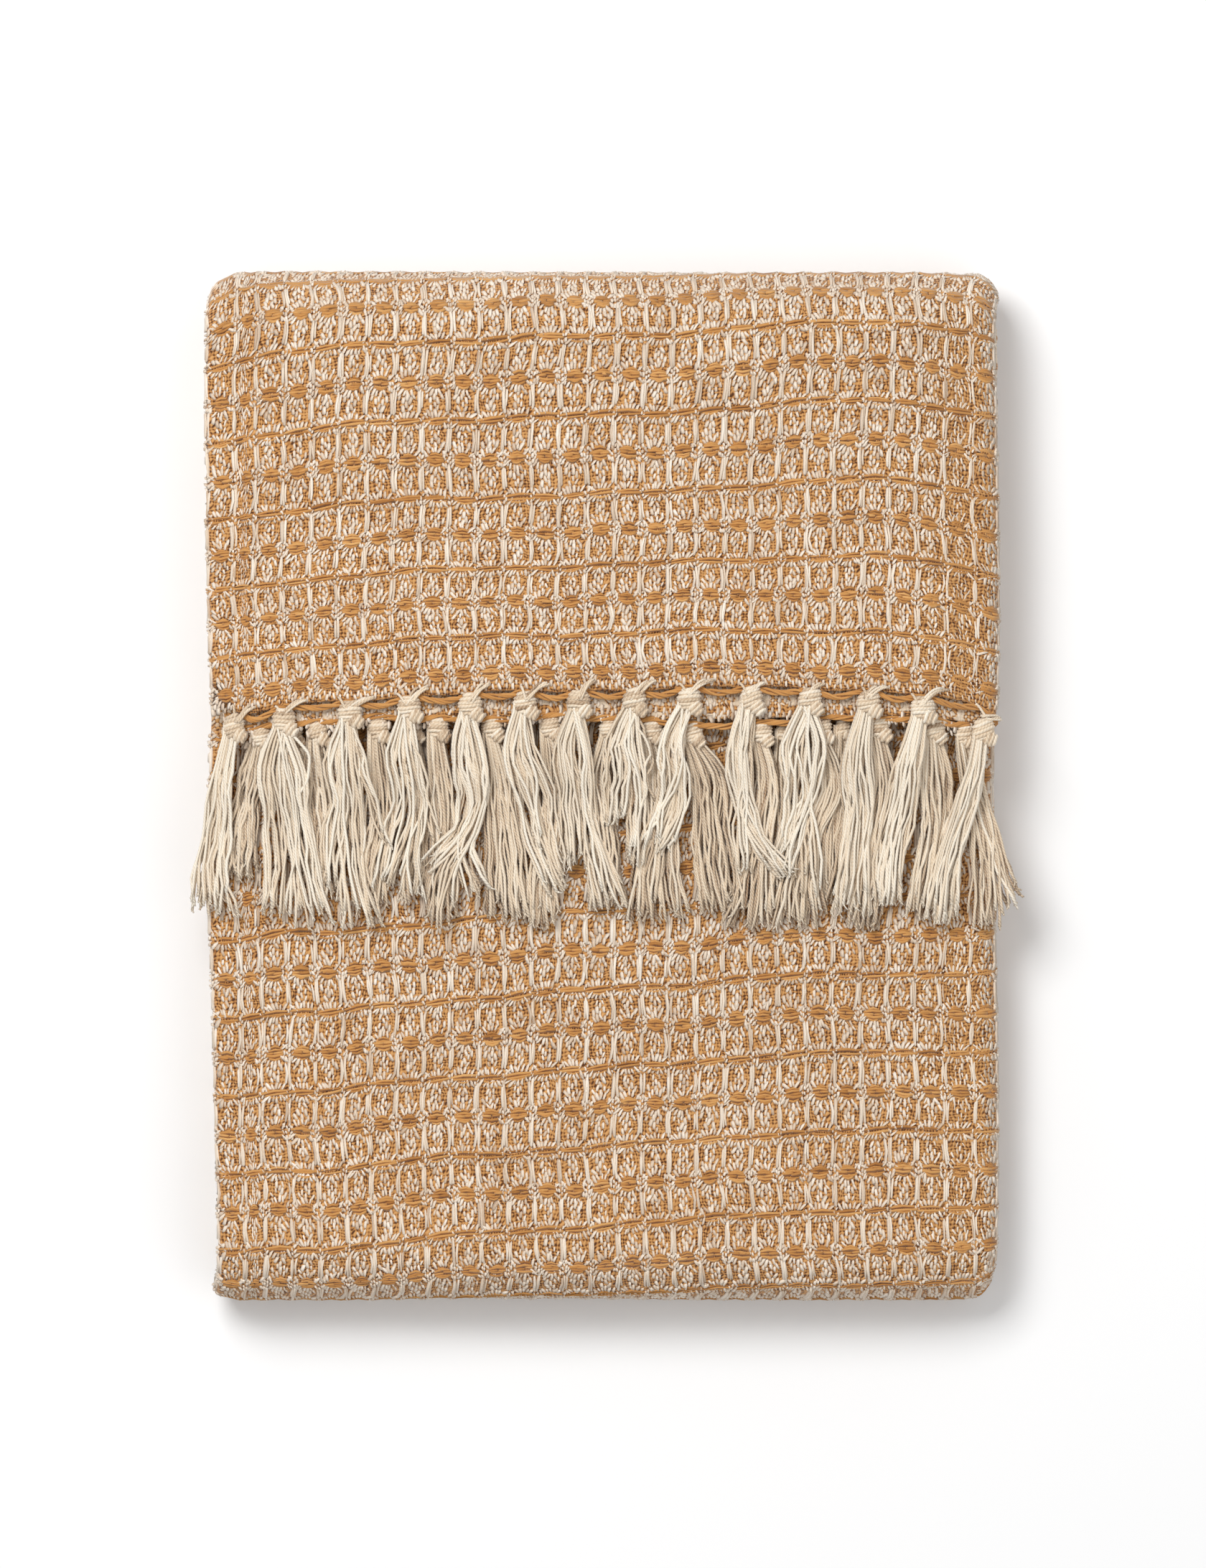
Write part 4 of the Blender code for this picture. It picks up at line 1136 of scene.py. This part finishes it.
def knot_core(centre, half, lean):
    """The filling of a knot: a round form just inside its wound yarns."""
    bm = bmesh.new()
    bm.loops.layers.uv.new("UVMap")
    place = Matrix.Translation(centre) @ Matrix.Rotation(lean, 4, "Z") @ Matrix.Diagonal((*half, 1.0))
    bmesh.ops.create_uvsphere(bm, u_segments=12, v_segments=8, radius=0.9, matrix=place, calc_uvs=True)
    mesh = mesh_from(bm, "core")
    lay(mesh, settle(*points_of(mesh).T) + SHIFT)
    # Painted shade: the core is painted dark, as the shade seen between the wraps
    mark(mesh, "tone", np.full(len(mesh.vertices), 0.2))
    return add_object("core", mesh, fringe)


def loose_ends(knot_x, seed):
    """The warp's short ends that stand out over the edge above a knot, all but the first to the right."""
    random = np.random.default_rng(seed)
    brush = random.uniform(SHORT_ENDS, LONG_ENDS)
    reach = brush[0] * random.uniform(0.7, 1.15, END_COUNT)
    rise = brush[1] * random.uniform(0.7, 1.25, END_COUNT)
    reach[0], rise[0] = -random.uniform(*LEFT_REACH), random.uniform(*LEFT_RISE)
    share = np.linspace(0, 1, END_POINTS)[None, :]
    root = knot_x - LEFT_FOLD_X + LEFT_TURN + random.uniform(-0.0012, 0.0012, (END_COUNT, 1))
    a = root + reach[:, None] * share
    t = edge_start(a) - END_ROOT + (rise[:, None] + END_ROOT) * (1 - (1 - share) ** 1.7)
    lift = 0.0036 * (1 - share) + 0.0017 + 0.0005 * np.sin(3 * share + random.uniform(0, 6, (END_COUNT, 1)))
    radii = END_RADIUS * np.linspace(1.0, 1.15, END_POINTS) * np.ones((END_COUNT, 1))
    return on_stack(a, t, lift), radii


def tassel(name, row, knot_x, bundles, seed):
    """Knot and yarns as one piece."""
    random = np.random.default_rng(1000 + seed)
    back = knot_back(row, knot_x)
    size = np.array([row["width"] / 0.0100, 1.0, row["width"] / 0.0100])
    barrel, lobe = BARREL * size, LOBE * size
    centre = np.array([knot_x, back, FRONT_TOP + row["knot"]]) + BARREL_PLACE
    beside = centre + LOBE_PLACE * np.array([size[0], 1.0, 1.0])
    lean = random.uniform(-0.16, 0.16)
    root = (knot_x - 0.0012, back - KNOT_LENGTH + 0.0018)
    parts = [
        knot_core(centre, barrel, lean),
        wound(centre, barrel, 0.16 + random.uniform(-0.10, 0.10), lean, BARREL_WRAPS, seed),
        knot_core(beside, lobe, LOBE_LEAN),
        wound(beside, lobe, 0.05, LOBE_LEAN + random.uniform(-0.3, 0.3), LOBE_WRAPS, seed + 1),
    ]
    for number, (_, *bundle) in enumerate(bundles):
        paths, radii, tones = bundle_yarns(row, root, bundle, 0.0006 * number, seed + 31 * number)
        parts.append(strands(paths, radii, fringe, tones=tones))
        ends, end_radii = frayed(paths, seed + number)
        end_tones = np.repeat(tones + CUT_LIGHT, 2)
        parts.append(strands(ends, end_radii, fringe, sides=3, tones=end_tones))
    if row["edge"] == 1:
        parts.append(strands(*loose_ends(knot_x, seed), fringe, seed=seed))
    return joined(name, parts)


FIRST_TASSEL_SEED = 40
tassels = []
for row_name, table in TASSELS.items():
    for number, knot_x in enumerate(dict.fromkeys(bundle[0] for bundle in table), start=1):
        node_name = f"tassel_{row_name}_{number:02d}"
        bundles = [bundle for bundle in table if bundle[0] == knot_x]
        seed = FIRST_TASSEL_SEED + 3 * len(tassels)
        made = tassel(f"yarn_{node_name}", TASSEL_ROWS[row_name], knot_x / 1000, bundles, seed)
        tassels.append((made, node_name))
print("tassel triangles:", triangles(*(piece for piece, _ in tassels)))

# %% [markdown]
# ## The edge cords
# The loose edge is finished by its last picks, which are drawn together into a mustard cord of five strands.
# It would be easy to model as one bent cylinder, but the real one shows its twist, so the strands are wound
# round each other along the edge, and dip a little between the knots.

# %% Mustard cords on both edges of the flap
CORD_STRANDS, CORD_STRAND, CORD_WIND, CORD_TURN, CORD_POINTS = 5, 0.00056, 0.00088, 0.017, 190
CORD_TONES = np.linspace(0.35, 0.62, CORD_STRANDS)
BEFORE_EDGE, CORD_LIFT, CORD_FLAT = 0.0006, 0.0008, 0.8


def edge_cord(name, a_line, row_name, drop, lift, seed):
    """Strands wound round a line that follows the edge and hangs down between the knots of a row."""
    random = np.random.default_rng(seed)
    knots = np.array(sorted({bundle[0] for bundle in TASSELS[row_name]})) / 1000
    between = np.interp(across_strip(a_line)[0], knots, np.arange(len(knots)))
    t_line = edge_start(a_line) - BEFORE_EDGE - drop * np.sin(math.pi * between) ** 2
    turns = np.linspace(0, abs(a_line[-1] - a_line[0]) / CORD_TURN, CORD_POINTS)
    paths = []
    for strand in range(CORD_STRANDS):
        turn = 2 * math.pi * (turns + strand / CORD_STRANDS)
        turn = turn + 0.9 * np.sin(np.linspace(0, 37, CORD_POINTS) + random.uniform(0, 6))
        rise = CORD_WIND * CORD_FLAT * np.sin(turn)
        paths.append(on_stack(a_line, t_line + CORD_WIND * np.cos(turn), lift + rise))
    radii = np.full((CORD_STRANDS, CORD_POINTS), CORD_STRAND)
    return strands(np.array(paths), radii, mustard_stitch, sides=5, tones=CORD_TONES, name=name)


face_line = np.linspace(LEFT_TURN + 0.0075, panel_end + OUTER_TURN * 0.7, CORD_POINTS)
under_line = -np.linspace(LEFT_TURN + 0.002, panel_end - 0.004, CORD_POINTS)
cords = [
    edge_cord("cord_flap_edge", face_line, "top", 0.0020, CORD_LIFT, 21),
    edge_cord("cord_under_edge", under_line, "second", 0.0012, -CORD_LIFT, 22),
]
print("cord triangles:", triangles(*cords))

# %% [markdown]
# ## Riding on the frame
# Nothing on a folded throw moves, so every piece rides on the one body. The sheet stands for the solid
# blanket, and each tassel for its solid.

# %% What each piece stands for
for piece in [cloth, *stitch_pieces, *cords]:
    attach(piece, "root")
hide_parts("blanket")
for piece, node_name in tassels:
    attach(piece, "root")
    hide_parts(node_name)

# %% [markdown]
# ## Floor, light and camera
# The throw lies on a plain white floor under wide soft lights. The main light stands beyond the thick folded
# end, so the flap's edge and the tassels shade the panel in front of them. The camera looks straight down.

# %% Floor
FLOOR_HALF_WIDTH = 4.0
bm = bmesh.new()
bmesh.ops.create_grid(bm, x_segments=1, y_segments=1, size=FLOOR_HALF_WIDTH)
floor_paint = bpy.data.materials.new("white_floor")
floor_paint.use_nodes = True
floor_shader = floor_paint.node_tree.nodes["Principled BSDF"]
floor_shader.inputs["Base Color"].default_value = (0.92, 0.92, 0.92, 1.0)
floor_shader.inputs["Roughness"].default_value = 0.9
floor = add_object("floor", mesh_from(bm, "floor"), floor_paint)
print("floor width, metres:", 2 * FLOOR_HALF_WIDTH)

# %% Lights
# Columns: name, place, size, power
LIGHTS = (("key", (-0.7, 0.95, 1.95), 1.0, 37.5), ("fill", (1.1, -0.6, 2.3), 2.0, 12.0))
LIT_PLACE, ROOM_LIGHT = (0, 0, 0.03), 0.465
scene = bpy.context.scene
scene.view_settings.view_transform = "Standard"
world = bpy.data.worlds.new("soft_room")
scene.world = world
world.use_nodes = True
world.node_tree.nodes["Background"].inputs["Color"].default_value = (1.0, 1.0, 1.0, 1.0)
world.node_tree.nodes["Background"].inputs["Strength"].default_value = ROOM_LIGHT


def soft_light(name, place, size, power):
    """A square area light aimed at the middle of the throw."""
    data = bpy.data.lights.new(name, "AREA")
    data.shape, data.size, data.energy = "SQUARE", size, power
    obj = bpy.data.objects.new(name, data)
    scene.collection.objects.link(obj)
    obj.location = place
    obj.rotation_euler = (Vector(LIT_PLACE) - Vector(place)).to_track_quat("-Z", "Y").to_euler()
    return obj


print("lights:", [soft_light(*light).name for light in LIGHTS])

# %% Camera
PHOTO_HEIGHT, MM_PER_PIXEL = 2184, 0.2909
CAMERA_HEIGHT, TOP_HEIGHT = 4.20, 0.055
MIDDLE_X, MIDDLE_Y = 0.00015, 0.0009
SENSOR = 36.0
frame_height = PHOTO_HEIGHT * MM_PER_PIXEL / 1000
camera_data = bpy.data.cameras.new("camera")
camera_data.sensor_fit, camera_data.sensor_height = "VERTICAL", SENSOR
camera_data.lens = SENSOR * (CAMERA_HEIGHT - TOP_HEIGHT) / frame_height
camera = bpy.data.objects.new("camera", camera_data)
scene.collection.objects.link(camera)
camera.location = (MIDDLE_X + SHIFT[0], MIDDLE_Y + SHIFT[1], CAMERA_HEIGHT)
scene.camera = camera
print("lens, mm:", round(camera_data.lens, 1))
